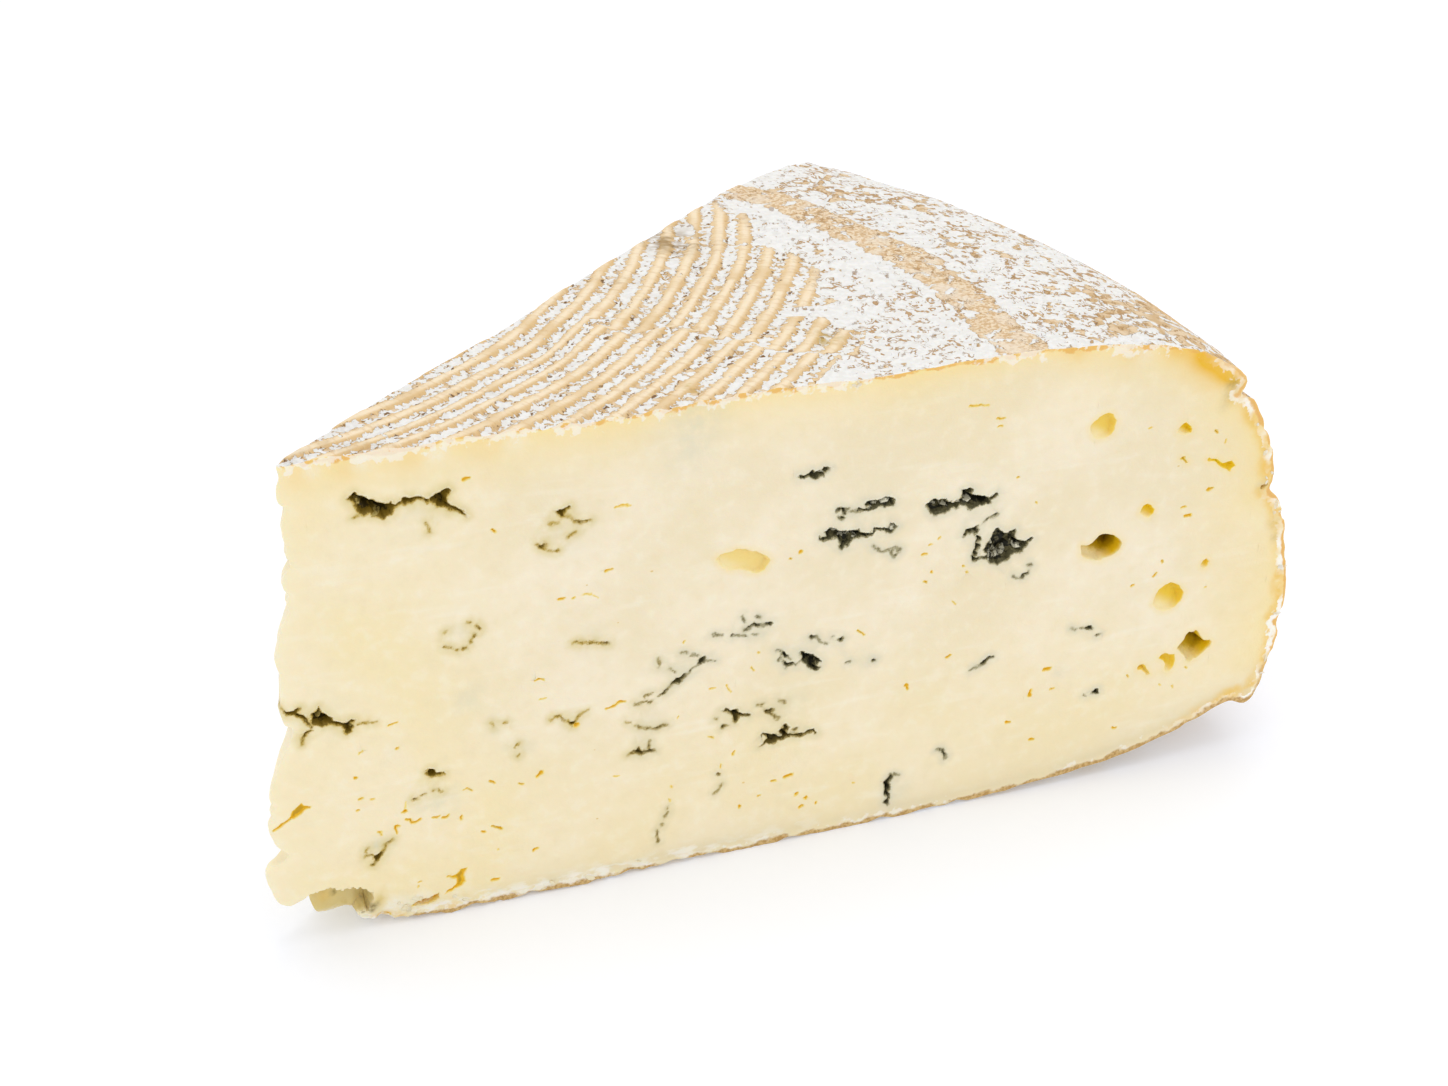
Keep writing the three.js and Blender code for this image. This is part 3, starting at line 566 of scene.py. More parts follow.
# Eyes left by gas: outline, depth, and how golden they are inside. Each burrows
# deepest towards its upper right.
EYES = [(np.array(outline), depth, gilt) for outline, depth, gilt in [
    ([(87.4, 32.9), (87.8, 32.75), (88.3, 32.6), (88.8, 32.8), (89.2, 33.3), (89.5, 33.7),
      (90.1, 33.8), (90.7, 33.7), (91.2, 33.5), (91.7, 33.2), (92.2, 32.8), (92.6, 32),
      (92.4, 31.4), (91.9, 30.9), (91.5, 30.7), (90.6, 30.5), (90, 30.3), (89.3, 30.5),
      (88.5, 30.8), (87.9, 31.1), (87.5, 31.6)], 3.4, 1.0),
    ([(101.15, 16), (102, 17), (102.3, 17.6), (102.6, 17.9), (103.1, 17.8), (103.5, 18),
      (103.9, 17.5), (104.3, 16.9), (104.8, 16.4), (105.5, 16.2), (105.8, 15.9), (105.5, 15.3),
      (104.8, 14.7), (104, 14.1), (102.8, 13.5), (102.6, 14), (102.2, 14.7), (101.7, 15.3)], 2.8, 1.0),
    ([(97.3, 22.9), (97.6, 23.9), (98, 24.7), (98.6, 25.2), (99.3, 25.45), (100, 25.2),
      (100.7, 24.7), (101.3, 23.7), (101.1, 22.8), (100.4, 21.9), (99.6, 21.6), (98.8, 21.6),
      (98, 22)], 1.2, 0.9),
    ([(87.2, 48.1), (87.6, 48.6), (88, 48.7), (88.4, 49.1), (88.9, 49.4), (89.5, 49.4),
      (90, 49), (90.4, 48.2), (90.3, 47.1), (89.9, 46.5), (89.3, 46.2), (88.5, 46.2),
      (87.8, 46.6), (87.4, 47.2)], 0.9, 0.75),
    ([(98.2, 45.7), (98.5, 46.1), (98.8, 46.5), (99.2, 46.5), (99.6, 46.1), (100, 45.5),
      (99.9, 45.1), (99.2, 44.9), (98.6, 45), (98.2, 45.3)], 0.9, 1.0),
    ([(102.2, 41.1), (102.5, 41.5), (102.8, 41.2), (103.4, 41.2), (103.9, 40.8), (104.3, 40.4),
      (105.2, 40.4), (105.6, 40.4), (106.1, 39.6), (105.7, 39.4), (105.4, 38.9), (104.9, 39.5),
      (104.3, 39.8), (103.7, 40.3), (103.2, 40.8), (102.5, 40.9)], 0.8, 1.0),
    ([(94.5, 36.1), (94.8, 36.6), (95.4, 36.75), (95.9, 36.4), (96.3, 35.8), (96.2, 35.3),
      (95.7, 34.9), (95.2, 35), (94.7, 35.4), (94.4, 35.7)], 0.9, 1.0),
    ([(98.9, 15), (99.3, 15.5), (99.7, 15.6), (100.3, 15.3), (101, 15.2), (101.2, 14.2),
      (101, 13.5), (100.6, 12.9), (100.2, 12.7), (99.6, 13.3), (99.9, 14), (99.5, 14.6)], 0.9, 0.9),
    ([(96.2, 14.3), (96.5, 14.7), (97, 14.7), (97.3, 14.4), (97.7, 13.6), (98.1, 12.9),
      (97.5, 12.9), (97.1, 13.5), (96.8, 13.9), (96.3, 14)], 0.8, 0.8),
    ([(103, 27.1), (103.3, 27.5), (103.8, 27.9), (104.1, 27.4), (104, 26.9), (103.6, 26.5),
      (103.2, 26.7)], 0.6, 0.9),
    ([(98.7, 42), (99, 42.2), (99.5, 42.2), (99.5, 41.8), (99.9, 41.3), (99.6, 41.2),
      (99.2, 41.7)], 0.5, 0.9),
    ([(44.1, 39.8), (44.6, 40.3), (45.2, 40.35), (46, 40.5), (46.9, 40.6), (47.5, 40.4),
      (48.1, 40), (48.7, 39.9), (49.3, 39.5), (50, 39), (50.4, 38.4), (50, 37.8), (49.7, 37.3),
      (49.1, 37), (48.6, 37), (48.1, 37.3), (47.2, 37.9), (46.4, 38), (45.4, 38.1),
      (44.8, 38.6), (44.4, 39.1)], 0.8, 0.4),
]]
BURROW = np.array([0.55, 0.83])    # the way they burrow: along and up

# The tip's edge from the top down, (along, height), and the outline of its broken foot.
TIP_EDGE = np.array([
    (-0.7, 66), (-0.7, 60), (-0.8, 59.1), (-0.62, 58.3), (-0.65, 57.6), (-0.9, 56.7),
    (-1.05, 55.7), (-0.85, 54.9), (-0.25, 54.4), (-0.4, 53.8), (-0.6, 53), (-0.85, 52.2),
    (-0.85, 51), (-0.5, 50), (-0.75, 49.2), (-0.7, 48.7), (-0.38, 48.2), (-0.35, 47.6),
    (-0.85, 47.1), (-1.2, 46.4), (-1.35, 45.5), (-1.25, 45), (-0.85, 44.5), (-0.95, 44),
    (-1.1, 43.1), (-0.9, 42.6), (-1.55, 41.4), (-2.1, 40.1), (-2.5, 38.5), (-2.85, 37.2),
    (-2.85, 36), (-2.5, 35.2), (-2.55, 34.5), (-2.75, 33.3), (-2.65, 32.3), (-2.9, 31.5),
    (-3.05, 30.6), (-2.95, 29.6), (-2.65, 28.7), (-2.05, 28.6), (-1.75, 28.1), (-1.85, 27.6),
    (-2.4, 26.5), (-3.1, 25.2), (-3.7, 24), (-4.15, 22.9), (-4.5, 21.8), (-4.85, 20.8),
    (-5.15, 19.7), (-4.8, 19.1), (-4.8, 18.8), (-5.15, 18.3), (-5.1, 17.9), (-4.8, 17.5),
    (-5.5, 16.7), (-5.6, 16.2), (-5.4, 15.4), (-5.1, 14), (-4.6, 13.2), (-4.1, 12.8),
    (-3.7, 12.3), (-4.3, 11.6), (-5.1, 11.2), (-5.9, 11.3), (-6.4, 10.7), (-6.4, 9.8),
    (-6.2, 8.6), (-5.9, 7.7), (-5.7, 6.9), (-5.4, 6), (-4.7, 5.5), (-4.1, 5.3), (-3.4, 5.6),
    (-2.5, 6), (-2.05, 6.1), (-1.9, 5), (-1.75, 4.1), (-1.5, 3.2), (-1.1, 2.4), (-0.3, 2.1),
    (0.5, 2.2), (1.4, 2.55), (1.9, 2.6), (2.4, 2.3), (2.9, 2.4), (3.05, 1.9), (3.35, 1.2),
    (3.7, 0.75), (4.15, 0.8), (4.4, 1.1), (5.2, 0.85), (6, 0.7), (7, 0.55), (8, 0.5), (9, 0.38),
    (10, 0.35), (11, 0.2), (12, 0), (13, -4),
])
BROKEN_FOOT = np.array([
    (-3.4, 2), (-2.4, 6.05), (-1.9, 6.35), (-1.4, 6.6), (-1, 6.95), (-0.4, 7), (0.05, 6.75),
    (0.5, 6.75), (0.8, 6.5), (1.6, 6.4), (2.1, 6.1), (2.5, 6.3), (2.8, 6.1), (3.3, 6.15),
    (3.8, 5.7), (4.2, 5.3), (4.5, 5), (4.75, 4.5), (4.7, 4), (4.4, 3.5), (4.3, 2.9), (3.9, 2.5),
    (3.6, 2.9), (3.1, 2.6), (2.6, 1.2), (2, -3), (-3.4, -3),
])
BREAK_DEPTH = 1.7              # how deep the broken foot is
TIP_STEP = 0.25                # how closely the tip's edge is stepped


def capsules(chains):
    """The chains as one table of rows: start, end and the half width at each end."""
    rows = [(*chain[i][:2], *chain[i + 1][:2], chain[i][2], chain[i + 1][2])
            for chain in chains for i in range(len(chain) - 1)]
    return np.array(rows)


def slit_capsules(slits):
    """The slits as a table like that of the chains, each a little finer at one end."""
    rows = []
    for x, z, half, lean, width in slits:
        dx, dz = half * math.cos(math.radians(lean)), half * math.sin(math.radians(lean))
        rows.append((x - dx, z - dz, x + dx, z + dz, width, width * 0.8))
    return np.array(rows)


def from_segment(spots, start, end):
    """How far each spot is from a straight piece, and how far along it, from 0 to 1,
    the nearest place lies."""
    run = np.subtract(end, start)
    away = spots - start
    part = np.clip(away @ run / max(run @ run, 1e-9), 0, 1)
    return np.hypot(away[:, 0] - part * run[0], away[:, 1] - part * run[1]), part


def inside_capsules(spots, table):
    """How far each spot lies inside the nearest capsule, negative outside it, and
    that capsule's half width there."""
    best, thick = np.full(len(spots), FAR_OUTSIDE), np.zeros(len(spots))
    for x0, z0, x1, z1, r0, r1 in table:
        gap, part = from_segment(spots, (x0, z0), (x1, z1))
        half = r0 + (r1 - r0) * part
        inner = half - gap
        thick = np.where(inner > best, half, thick)
        best = np.maximum(best, inner)
    return best, thick


def inside_outline(spots, outline):
    """How far each spot lies inside a closed outline; negative is outside."""
    nearest = np.full(len(spots), np.inf)
    within = np.zeros(len(spots), bool)
    for (x0, z0), (x1, z1) in zip(outline, np.roll(outline, -1, axis=0)):
        gap, _ = from_segment(spots, (x0, z0), (x1, z1))
        nearest = np.minimum(nearest, gap)
        if z0 != z1:
            crosses = (spots[:, 1] < z0) != (spots[:, 1] < z1)
            within ^= crosses & (spots[:, 0] < x0 + (spots[:, 1] - z0) / (z1 - z0) * (x1 - x0))
    return np.where(within, nearest, -nearest)


def close_to(spots, outline, reach=3.0):
    """Which spots are near enough to an outline for it to matter to them."""
    low, high = outline.min(axis=0) - reach, outline.max(axis=0) + reach
    return ((spots > low) & (spots < high)).all(axis=1)


def by_outline(spots, outlines):
    """For each outline, which spots are near it and how far inside it they lie."""
    for outline in outlines:
        here = close_to(spots, outline)
        yield here, inside_outline(spots[here], outline)


def inside_pockets(spots):
    """How far inside a mould crack or pocket each spot lies, negative outside it, and
    how faint that vein is: 1 for the thinnest, 0 for a wide crack or a pocket."""
    best, thick = inside_capsules(spots, CRACK_TABLE)
    for here, inner in by_outline(spots, POCKETS):
        thick[here] = np.where(inner > best[here], 1.0, thick[here])
        best[here] = np.maximum(best[here], inner)
    return best, fade(0.21, 0.1, thick)


def inside_eyes(spots):
    """How far inside an eye each spot lies, how deep it is there, and how golden."""
    best = np.full(len(spots), FAR_OUTSIDE)
    deep, gilded = np.zeros(len(spots)), np.zeros(len(spots))
    for outline, depth, gilt in EYES:
        here = close_to(spots, outline)
        inner = inside_outline(spots[here], outline)
        middle = (outline.min(axis=0) + outline.max(axis=0)) / 2
        reach = (outline.max(axis=0) - outline.min(axis=0)).min() / 2
        ahead = (spots[here] - middle) @ BURROW / reach
        bowl = depth * (0.22 + 0.78 * fade(-1.1, 0.75, ahead))
        bowl *= fade(-0.02, min(0.4, reach * 0.4), inner)
        deep[here] = np.maximum(deep[here], bowl)
        gilded[here] = np.maximum(gilded[here], gilt * fade(-0.9, 0.1, ahead) * (inner > -0.3))
        best[here] = np.maximum(best[here], inner)
    return best, deep, gilded


def inside_amber(spots):
    """How far inside an amber slit or gap each spot lies; negative is outside."""
    best, _ = inside_capsules(spots, AMBER_TABLE)
    for here, inner in by_outline(spots, AMBER_GAPS):
        best[here] = np.maximum(best[here], inner)
    return best


def inside_tufts(spots):
    """How far inside a tuft of down each spot lies; negative is outside."""
    best = np.full(len(spots), -1.0)
    for x, z, long, wide, lean in TUFTS:
        off = spots - (x, z)
        here = (np.abs(off) < 1.5).all(axis=1)
        turn = math.radians(lean)
        one = (off[here, 0] * math.cos(turn) + off[here, 1] * math.sin(turn)) / long
        two = (off[here, 1] * math.cos(turn) - off[here, 0] * math.sin(turn)) / wide
        best[here] = np.maximum(best[here], (1 - np.hypot(one, two)) * wide)
    return best


CRACK_TABLE = capsules(CRACKS)
AMBER_TABLE = np.vstack([slit_capsules(AMBER), capsules(AMBER_THREADS)])
TIP_OUTLINE = np.vstack([TIP_EDGE, [(140, -4), (140, 66)]])
ROOF_STEP = np.array([0.18, 0.42])     # from a spot towards the lip that overhangs it


def as_near(spots, near):
    """The far cut shows the same kinds of opening, turned over."""
    return spots if near else np.column_stack([spots[:, 0] * 0.97 + 1.5, 58.6 - spots[:, 1]])


def face_features(spots, near):
    """What the knife opened at each spot of a cut face, as distances in millimetres
    inside each kind of opening; roof is 1 under an opening's upper lip, -1 at its sill."""
    spots = as_near(spots, near)
    flat = flat_points(spots)
    ragged = np.column_stack([
        0.2 * grain(flat, 1.1, 51) + 0.2 * grain(flat, 0.5, 52) + 0.12 * grain(flat, 0.24, 56),
        0.2 * grain(flat, 1.1, 53) + 0.2 * grain(flat, 0.5, 54) + 0.12 * grain(flat, 0.24, 57),
    ])
    frayed = spots + ragged * 0.55
    crack, faint = inside_pockets(frayed)
    roof = (crack - inside_pockets(frayed + ROOF_STEP)[0]) / np.hypot(*ROOF_STEP)
    eye, deep, gilt = inside_eyes(spots + ragged * 0.3)
    return {
        "crack": crack, "faint": faint, "roof": np.clip(roof, -1, 1),
        "eye": eye, "deep": deep, "gilt": gilt,
        "amber": inside_amber(spots + ragged * 0.5),
        "tuft": inside_tufts(spots + ragged * 0.5),
        "broken": inside_outline(spots + ragged, BROKEN_FOOT) if near else eye * 0 + FAR_OUTSIDE,
    }


def crumbly(spots, near):
    """Where the paste close above the base crumbles: from the tip to past the middle."""
    flat = flat_points(spots)
    height = spots[:, 1] + 0.8 * grain(flat, 5, 67)
    share = fade(3.4, 1.4, height) * fade(70, 30, spots[:, 0])
    return share if near else share * 0.6


def face_relief(spots, near):
    """How far the cut face is sunk at each spot, in millimetres."""
    found = face_features(spots, near)
    flat = flat_points(spots)
    lumps = grain(flat, 0.9, 61)
    downy = 0.85 + 0.14 * lumps + 0.12 * grain(flat, 0.35, 62)
    downy = downy * (1 - 0.88 * fade(-0.06, 0.08, found["tuft"]))
    wide = np.clip(found["crack"], 0, 1)
    wall = 0.12 + 0.35 * np.clip(-found["roof"], 0, 1)
    depth = 0.5 + 1.3 * wide + 0.6 * np.clip(found["roof"], 0, 1) * fade(0.1, 0.3, wide)
    depth *= 1 - 0.75 * found["faint"]
    depth *= 1 - 0.4 * fade(44, 28, spots[:, 0]) * fade(0.3, 0.1, wide)
    sunk = fade(-0.02, wall, found["crack"]) * depth * np.clip(downy, 0.15, 1.2)
    sunk = np.maximum(sunk, found["deep"])
    sunk = np.maximum(sunk, fade(-0.02, 0.16, found["amber"]) * 0.25)
    torn = BREAK_DEPTH + 0.45 * grain(flat, 2.4, 63) + 0.15 * lumps
    torn += 0.8 * fade(2.6, 4.4, spots[:, 0]) * fade(2.6, 4, spots[:, 1])
    sunk = np.maximum(sunk, fade(0, 0.3, found["broken"]) * torn)
    drag = 0.03 * grain(flat * np.array([0.12, 1, 1]), 0.9, 64)
    swell = 0.12 * grain(flat, 14, 65) + 0.03 * grain(flat, 3, 66)
    inner = inside_outline(spots, TIP_OUTLINE) if near else np.full(len(spots), 9.0)
    worn = 0.3 * np.exp(-np.clip(inner, 0, 9) / 0.3)
    loose = crumbly(spots, near)
    crumbs = np.abs(0.3 * rough(flat, 1.5, 3, 68)) * loose
    crumbs += 1.3 * np.abs(grain(flat, 1.9, 69)) * loose * fade(10, 6, spots[:, 0])
    crevice = inside_outline(spots, AMBER_GAPS[2])
    crumbs += 0.8 * fade(-0.05, 0.2, crevice)
    return sunk + drag + swell + worn + crumbs


def rim_depth(spots):
    """How far inside the rind each spot of a cut face lies."""
    section = WHEEL_PROFILE[1:]
    nearest = np.where(spots[:, 0] < FLAT_BASE, np.abs(spots[:, 1]), np.inf)
    for start, end in zip(section[:-1], section[1:]):
        nearest = np.minimum(nearest, from_segment(spots, start, end)[0])
    return nearest


FINEST = 0.1                    # the cut faces are gridded in steps of this many mm
COARSEST = 16                   # up to this many steps in one cell
FACE_LOW, FACE_HIGH = (-16.0, -4.8), (121.6, 64.0)


def cells_for(near, finest):
    """Square cells, as [column, row, size] in finest steps, small where detail is."""
    across = int(round((FACE_HIGH[0] - FACE_LOW[0]) / FINEST / COARSEST))
    up = int(round((FACE_HIGH[1] - FACE_LOW[1]) / FINEST / COARSEST))
    column, row = np.meshgrid(np.arange(across), np.arange(up), indexing="ij")
    cells = np.column_stack([column.ravel(), row.ravel()]) * COARSEST
    size = COARSEST
    done = []
    while size > finest:
        spots = np.array(FACE_LOW) + (cells + size / 2) * FINEST
        found = face_features(spots, near)
        width = size * FINEST
        vein = found["crack"]
        sharp = np.where(found["faint"] < 0.5, vein, FAR_OUTSIDE)
        edge = np.maximum(np.maximum(sharp, found["eye"]), found["amber"])
        split = np.abs(edge) < width * 0.62 + 0.01
        split |= (np.abs(vein) < width * 0.62 + 0.05) & (size > 2)
        split |= (np.abs(found["broken"]) < width * 0.75) & (size > 2)
        split |= (crumbly(spots, near) > 0.3) & (size > 4)
        split |= (edge > 0) & (size > 2)
        split |= (found["broken"] > 0) & (size > 4)
        split |= (rim_depth(spots) < 2.2 + width * 0.7) & (size > 4)
        if near:
            tip = np.abs(inside_outline(spots, TIP_OUTLINE))
            split |= (tip < 1.0 + width * 0.7) & (size > 2)
        inside = (spots[:, 0] ** 2 < 118 ** 2) & (spots[:, 1] > -2) & (spots[:, 1] < 61)
        split &= inside
        done += [[*corner, size] for corner in cells[~split].tolist()]
        half = size // 2
        parents = cells[split]
        steps = np.array([(0, 0), (half, 0), (half, half), (0, half)])
        cells = (parents[:, None, :] + steps[None]).reshape(-1, 2)
        size = half
    return done + [[*corner, size] for corner in cells.tolist()]


def corners_of(column, row, size):
    return [(column, row), (column + size, row), (column + size, row + size), (column, row + size)]


def gridded_face(near, finest):
    """The cut face as spots, cells as lists of spots, and the spots round its border."""
    cells = cells_for(near, finest)
    corners = sorted({corner for cell in cells for corner in corners_of(*cell)})
    number = {corner: i for i, corner in enumerate(corners)}

    def between(start, end):
        """The spots along a cell's side, with those that smaller neighbours put there."""
        middle = ((start[0] + end[0]) // 2, (start[1] + end[1]) // 2)
        if middle in (start, end) or middle not in number:
            return [number[start]]
        return between(start, middle) + between(middle, end)

    faces = []
    for cell in cells:
        ring = corners_of(*cell)
        sides = zip(ring, ring[1:] + ring[:1])
        faces.append([spot for start, end in sides for spot in between(start, end)])
    spots = np.array(corners) * FINEST + np.array(FACE_LOW)
    right, top = np.max(corners, axis=0)
    low_side = [corner for corner in corners if corner[1] == 0]
    right_side = [corner for corner in corners if corner[0] == right]
    top_side = [corner for corner in corners[::-1] if corner[1] == top]
    left_side = [corner for corner in corners[::-1] if corner[0] == 0]
    border = low_side[:-1] + right_side[:-1] + top_side[:-1] + left_side[:-1]
    return spots, faces, [number[corner] for corner in border]


def apex_at(height):
    """How far before the axis the two cuts meet, at each height."""
    return APEX_TOP + (APEX_FOOT - APEX_TOP) * (1 - height / WHEEL_HEIGHT)


def far_side(spots, sunk):
    """Places on the far cut, which leans out towards its foot."""
    apex = apex_at(spots[:, 1])
    along = spots[:, 0] + apex
    x = -apex + along * math.cos(WEDGE_ANGLE) + sunk * math.sin(WEDGE_ANGLE)
    y = along * math.sin(WEDGE_ANGLE) - sunk * math.cos(WEDGE_ANGLE)
    return np.column_stack([x, y, spots[:, 1]])


def near_side(spots, sunk):
    """Places on the near cut, which stands upright along the x axis."""
    return np.column_stack([spots[:, 0], sunk, spots[:, 1]])


BLOCK_BACK = 95.0               # the blocks reach this far behind the near cut
BLOCK_FRONT = -3.0


def block_behind(name, place, near, finest):
    """A block whose front is one cut face, with all that the knife opened in it."""
    spots, faces, border = gridded_face(near, finest)
    front = place(spots, face_relief(spots, near))
    back = place(spots[border], np.full(len(border), BLOCK_BACK))
    behind = len(front) + np.arange(len(border))
    rim, rim_next = np.array(border), np.roll(border, -1)
    walls = np.stack([rim, rim_next, np.roll(behind, -1), behind], -1).tolist()
    faces = faces + walls + [behind.tolist()]
    return body_of(name, np.vstack([front, back]), faces, PASTE)


def tip_block():
    """A block cut to the sagging edge of the tip, its lobes softly uneven."""
    fine = eased(along_profile(TIP_EDGE, lambda place: TIP_STEP), 2)
    flat = flat_points(fine)
    fine[:, 0] += 0.08 * grain(flat, 0.9, 71)
    outline = np.vstack([fine, [(130, -4), (130, 66)]])
    count = len(outline)
    near = np.column_stack([outline[:, 0], np.full(count, BLOCK_FRONT), outline[:, 1]])
    far = near + (0, BLOCK_BACK - BLOCK_FRONT, 0)
    ring = np.arange(count)
    after = np.roll(ring, -1)
    walls = np.stack([ring, after, after + count, ring + count], -1).tolist()
    faces = walls + [ring.tolist(), (ring + count).tolist()]
    return body_of("tip_block", np.vstack([near, far]), faces, PASTE)


# ======================================================================================
# The wedge
# The rind sweep, cut by both faces and by the tip's torn edge: one closed body.
# ======================================================================================

def keep_common(piece, others):
    """Leaves of piece only what it shares with all the others, which are dropped."""
    for other in others:
        joint = piece.modifiers.new(other.name, "BOOLEAN")
        joint.operation = "INTERSECT"
        joint.solver = "MANIFOLD"
        joint.object = other
    bake(piece)
    for other in others:
        bpy.data.objects.remove(other)


NEAR_CELL, FAR_CELL = 1, 4      # the smallest cells of each cut face, in finest steps
SHARP_ANGLE = math.radians(48)  # edges bent more than this stay crisp

cheese = block_behind("cheese", near_side, True, NEAR_CELL)
keep_common(cheese, [
    block_behind("far_block", far_side, False, FAR_CELL),
    tip_block(),
    swept_rind(),
])


def add_value(mesh, name, values):
    """Stores one number at each point of the mesh for its material to read."""
    attribute = mesh.attributes.new(name, "FLOAT", "POINT")
    attribute.data.foreach_set("value", values.astype(np.float32))


def marked(places, marks):
    """How strongly soft round marks cover each place; a mark is where it lies, its
    reach and its strength."""
    return sum(share * np.exp(-((places - middle) ** 2).sum(axis=1) / reach ** 2)
               for *middle, reach, share in marks)


# Soft marks on the cut faces: (along, height, reach, strength).
FACE_MARKS = {
    "gilded": [(1, 57.6, 1.6, 0.16), (6, 57.8, 1.6, 0.2), (12, 57.6, 1.8, 0.16), (20, 57.4, 2, 0.12),
               (103, 53.2, 2.4, 1), (101.5, 54.3, 1.6, 0.8), (100, 55, 2.2, 0.8), (97, 56.2, 1.6, 0.6),
               (105, 51.3, 1.1, 1), (103.8, 51.8, 1.4, 0.8), (92, 57, 1.8, 0.4), (85, 57.8, 1.6, 0.35),
               (107.5, 46, 1.3, 0.6), (110.5, 39, 1.4, 0.8), (-0.3, 4.9, 0.9, 0.3),
               (13.5, 0.3, 0.9, 0.7), (4.9, 1.3, 0.5, 0.8), (6, 1, 0.6, 0.7), (7.6, 0.8, 0.6, 0.6)],
    # The second entry here is painted shade, in the nooks of the broken foot and by the side rind.
    "nook_shade": [(0.7, 5, 0.28, 1.3), (4.65, 3.2, 0.5, 0.9), (4.4, 2.6, 0.3, 0.8), (3.5, 2.6, 0.2, 1),
               (104.3, 48.9, 0.9, 0.35), (103.6, 47.6, 0.7, 0.12), (104.6, 50.4, 0.8, 0.7),
               (112.3, 31, 1, 0.32), (112.5, 29, 0.6, 0.35)],
    "yellowed": [(5.5, 4, 0.8, 1), (5.1, 2.8, 0.8, 0.7), (8.6, 1.8, 0.6, 0.8), (10.5, 1.3, 1.2, 0.4)],
    "whitened": [(2.6, 58.2, 0.8, 0.6), (7.5, 58.1, 1, 0.6), (15, 57.9, 1.1, 0.6), (23, 57.8, 1.2, 0.5),
                 (7, 3, 0.9, 1), (8.3, 2.6, 0.7, 0.8), (9.7, 3.1, 0.6, 0.9), (6.3, 2.4, 0.7, 0.6),
                 (10.8, 3.1, 0.5, 0.7), (13.2, 0.9, 0.7, 0.7), (105.6, 49.6, 1.4, 1),
                 (106.3, 48.6, 0.9, 0.8), (110.9, 34.8, 1, 0.9), (107, 47.9, 0.8, 0.8),
                 (93, 56.2, 1.4, 0.6)],
}

# Marks on top of the wheel: (along, across, reach, strength).
BARE_MARKS = [(97, 9, 3.6, 1.3), (91, 4.5, 2.4, 1), (103, 15, 3.5, 1), (76, 47, 4.5, 0.8),
              (86, 44, 3, 0.6), (99, 3, 3, 0.9), (104, 27, 3, 0.7), (107, 12, 3, 0.6),
              (94, 14, 2.2, 0.9), (89, 30, 3, 0.5), (97, 38, 4, 0.6)]
GREY_MARKS = [(52, 38.7, 3.2, 0.9), (43, 29, 1.6, 0.35), (61, 10.5, 1.2, 0.5)]
OCHRE_MARKS = [(59.7, 9.5, 1.5, 0.9), (42.7, 3.3, 0.9, 1.0), (48, 12.3, 0.8, 0.7)]


def cut_values(points):
    """What the paste needs to know at each point, read on the cut face nearest to it."""
    apex = apex_at(points[:, 2])
    along = points[:, 0] + apex
    from_far = along * math.sin(WEDGE_ANGLE) - points[:, 1] * math.cos(WEDGE_ANGLE)
    along_far = along * math.cos(WEDGE_ANGLE) + points[:, 1] * math.sin(WEDGE_ANGLE)
    near_spots = points[:, [0, 2]]
    far_spots = np.column_stack([along_far - apex, points[:, 2]])
    near_gap = np.abs(points[:, 1] - face_relief(near_spots, True))
    is_near = near_gap <= np.abs(from_far - face_relief(far_spots, False))
    spots = np.where(is_near[:, None], near_spots, far_spots)
    faced = np.where(is_near[:, None], near_spots, as_near(far_spots, False))

    on_near, on_far = face_features(near_spots, True), face_features(far_spots, False)
    values = {name: np.clip(np.where(is_near, on_near[name], on_far[name]), -5, 3)
              for name in on_near}
    values.update({name: marked(faced, marks) for name, marks in FACE_MARKS.items()})

    flat = flat_points(spots)
    rim = rim_depth(spots)
    side = fade(88, 106, spots[:, 0] + 2 * grain(flat, 9, 81))
    reach = 2.4 + 2.6 * side + 1.2 * grain(flat, 8, 82)
    upper = fade(6, 14, spots[:, 1])
    tip = inside_outline(near_spots, TIP_OUTLINE)
    butter = fade(30, 4, spots[:, 0]) + 0.6 * fade(30, 8, spots[:, 1])
    towards_tip = fade(44, 28, faced[:, 0])
    oily_foot = 0.5 * fade(24, 19, faced[:, 1]) * fade(62, 56, faced[:, 0])
    return values | {
        "rim": rim,
        "upper": upper,
        "golden": np.exp(-rim / np.maximum(reach, 1)) * upper,
        "olive": np.exp(-np.abs(rim - 1.4) / 1.3) * (1 - upper),
        "tip": np.exp(-np.clip(tip, 0, 20) / 1.7),
        "butter": np.clip(butter, 0, 1),
        "crumbly": crumbly(spots, True),
        "cloudy": marked(faced, CLOUDS),
        "towards_tip": towards_tip,
        "oily": np.maximum(towards_tip, oily_foot),
        "sidelong": fade(98, 108, spots[:, 0]),
    }


def rind_values(points):
    """What the rind needs to know at each point."""
    phase, strength = rib_pattern(points)
    smear = fade(-0.3, 0.5, grain(points, 0.9, 83) + grain(points, 0.4, 84)) * (points[:, 2] > 50)
    return {
        "sidewall": fade(53.5, 49, points[:, 2]),
        "bared": marked(points[:, :2], BARE_MARKS),
        "greyed": marked(points[:, :2], GREY_MARKS) * smear,
        "ochred": marked(points[:, :2], OCHRE_MARKS) * smear,
        "turn": np.clip(bearing(points), -0.2, 1) * 180,
        "wheel": from_axis(points),
        "height": points[:, 2],
        "ribs": phase * RIB_PITCH,
        "along": bearing(points, RIB_CENTRE) * 80,
        "ribbed": strength,
        "band": band_strength(points),
    }


points = points_of(cheese.data)
for name, values in (cut_values(points) | rind_values(points)).items():
    add_value(cheese.data, name, values)
cheese.data.polygons.foreach_set("use_smooth", [True] * len(cheese.data.polygons))
cheese.data.set_sharp_from_angle(angle=SHARP_ANGLE)


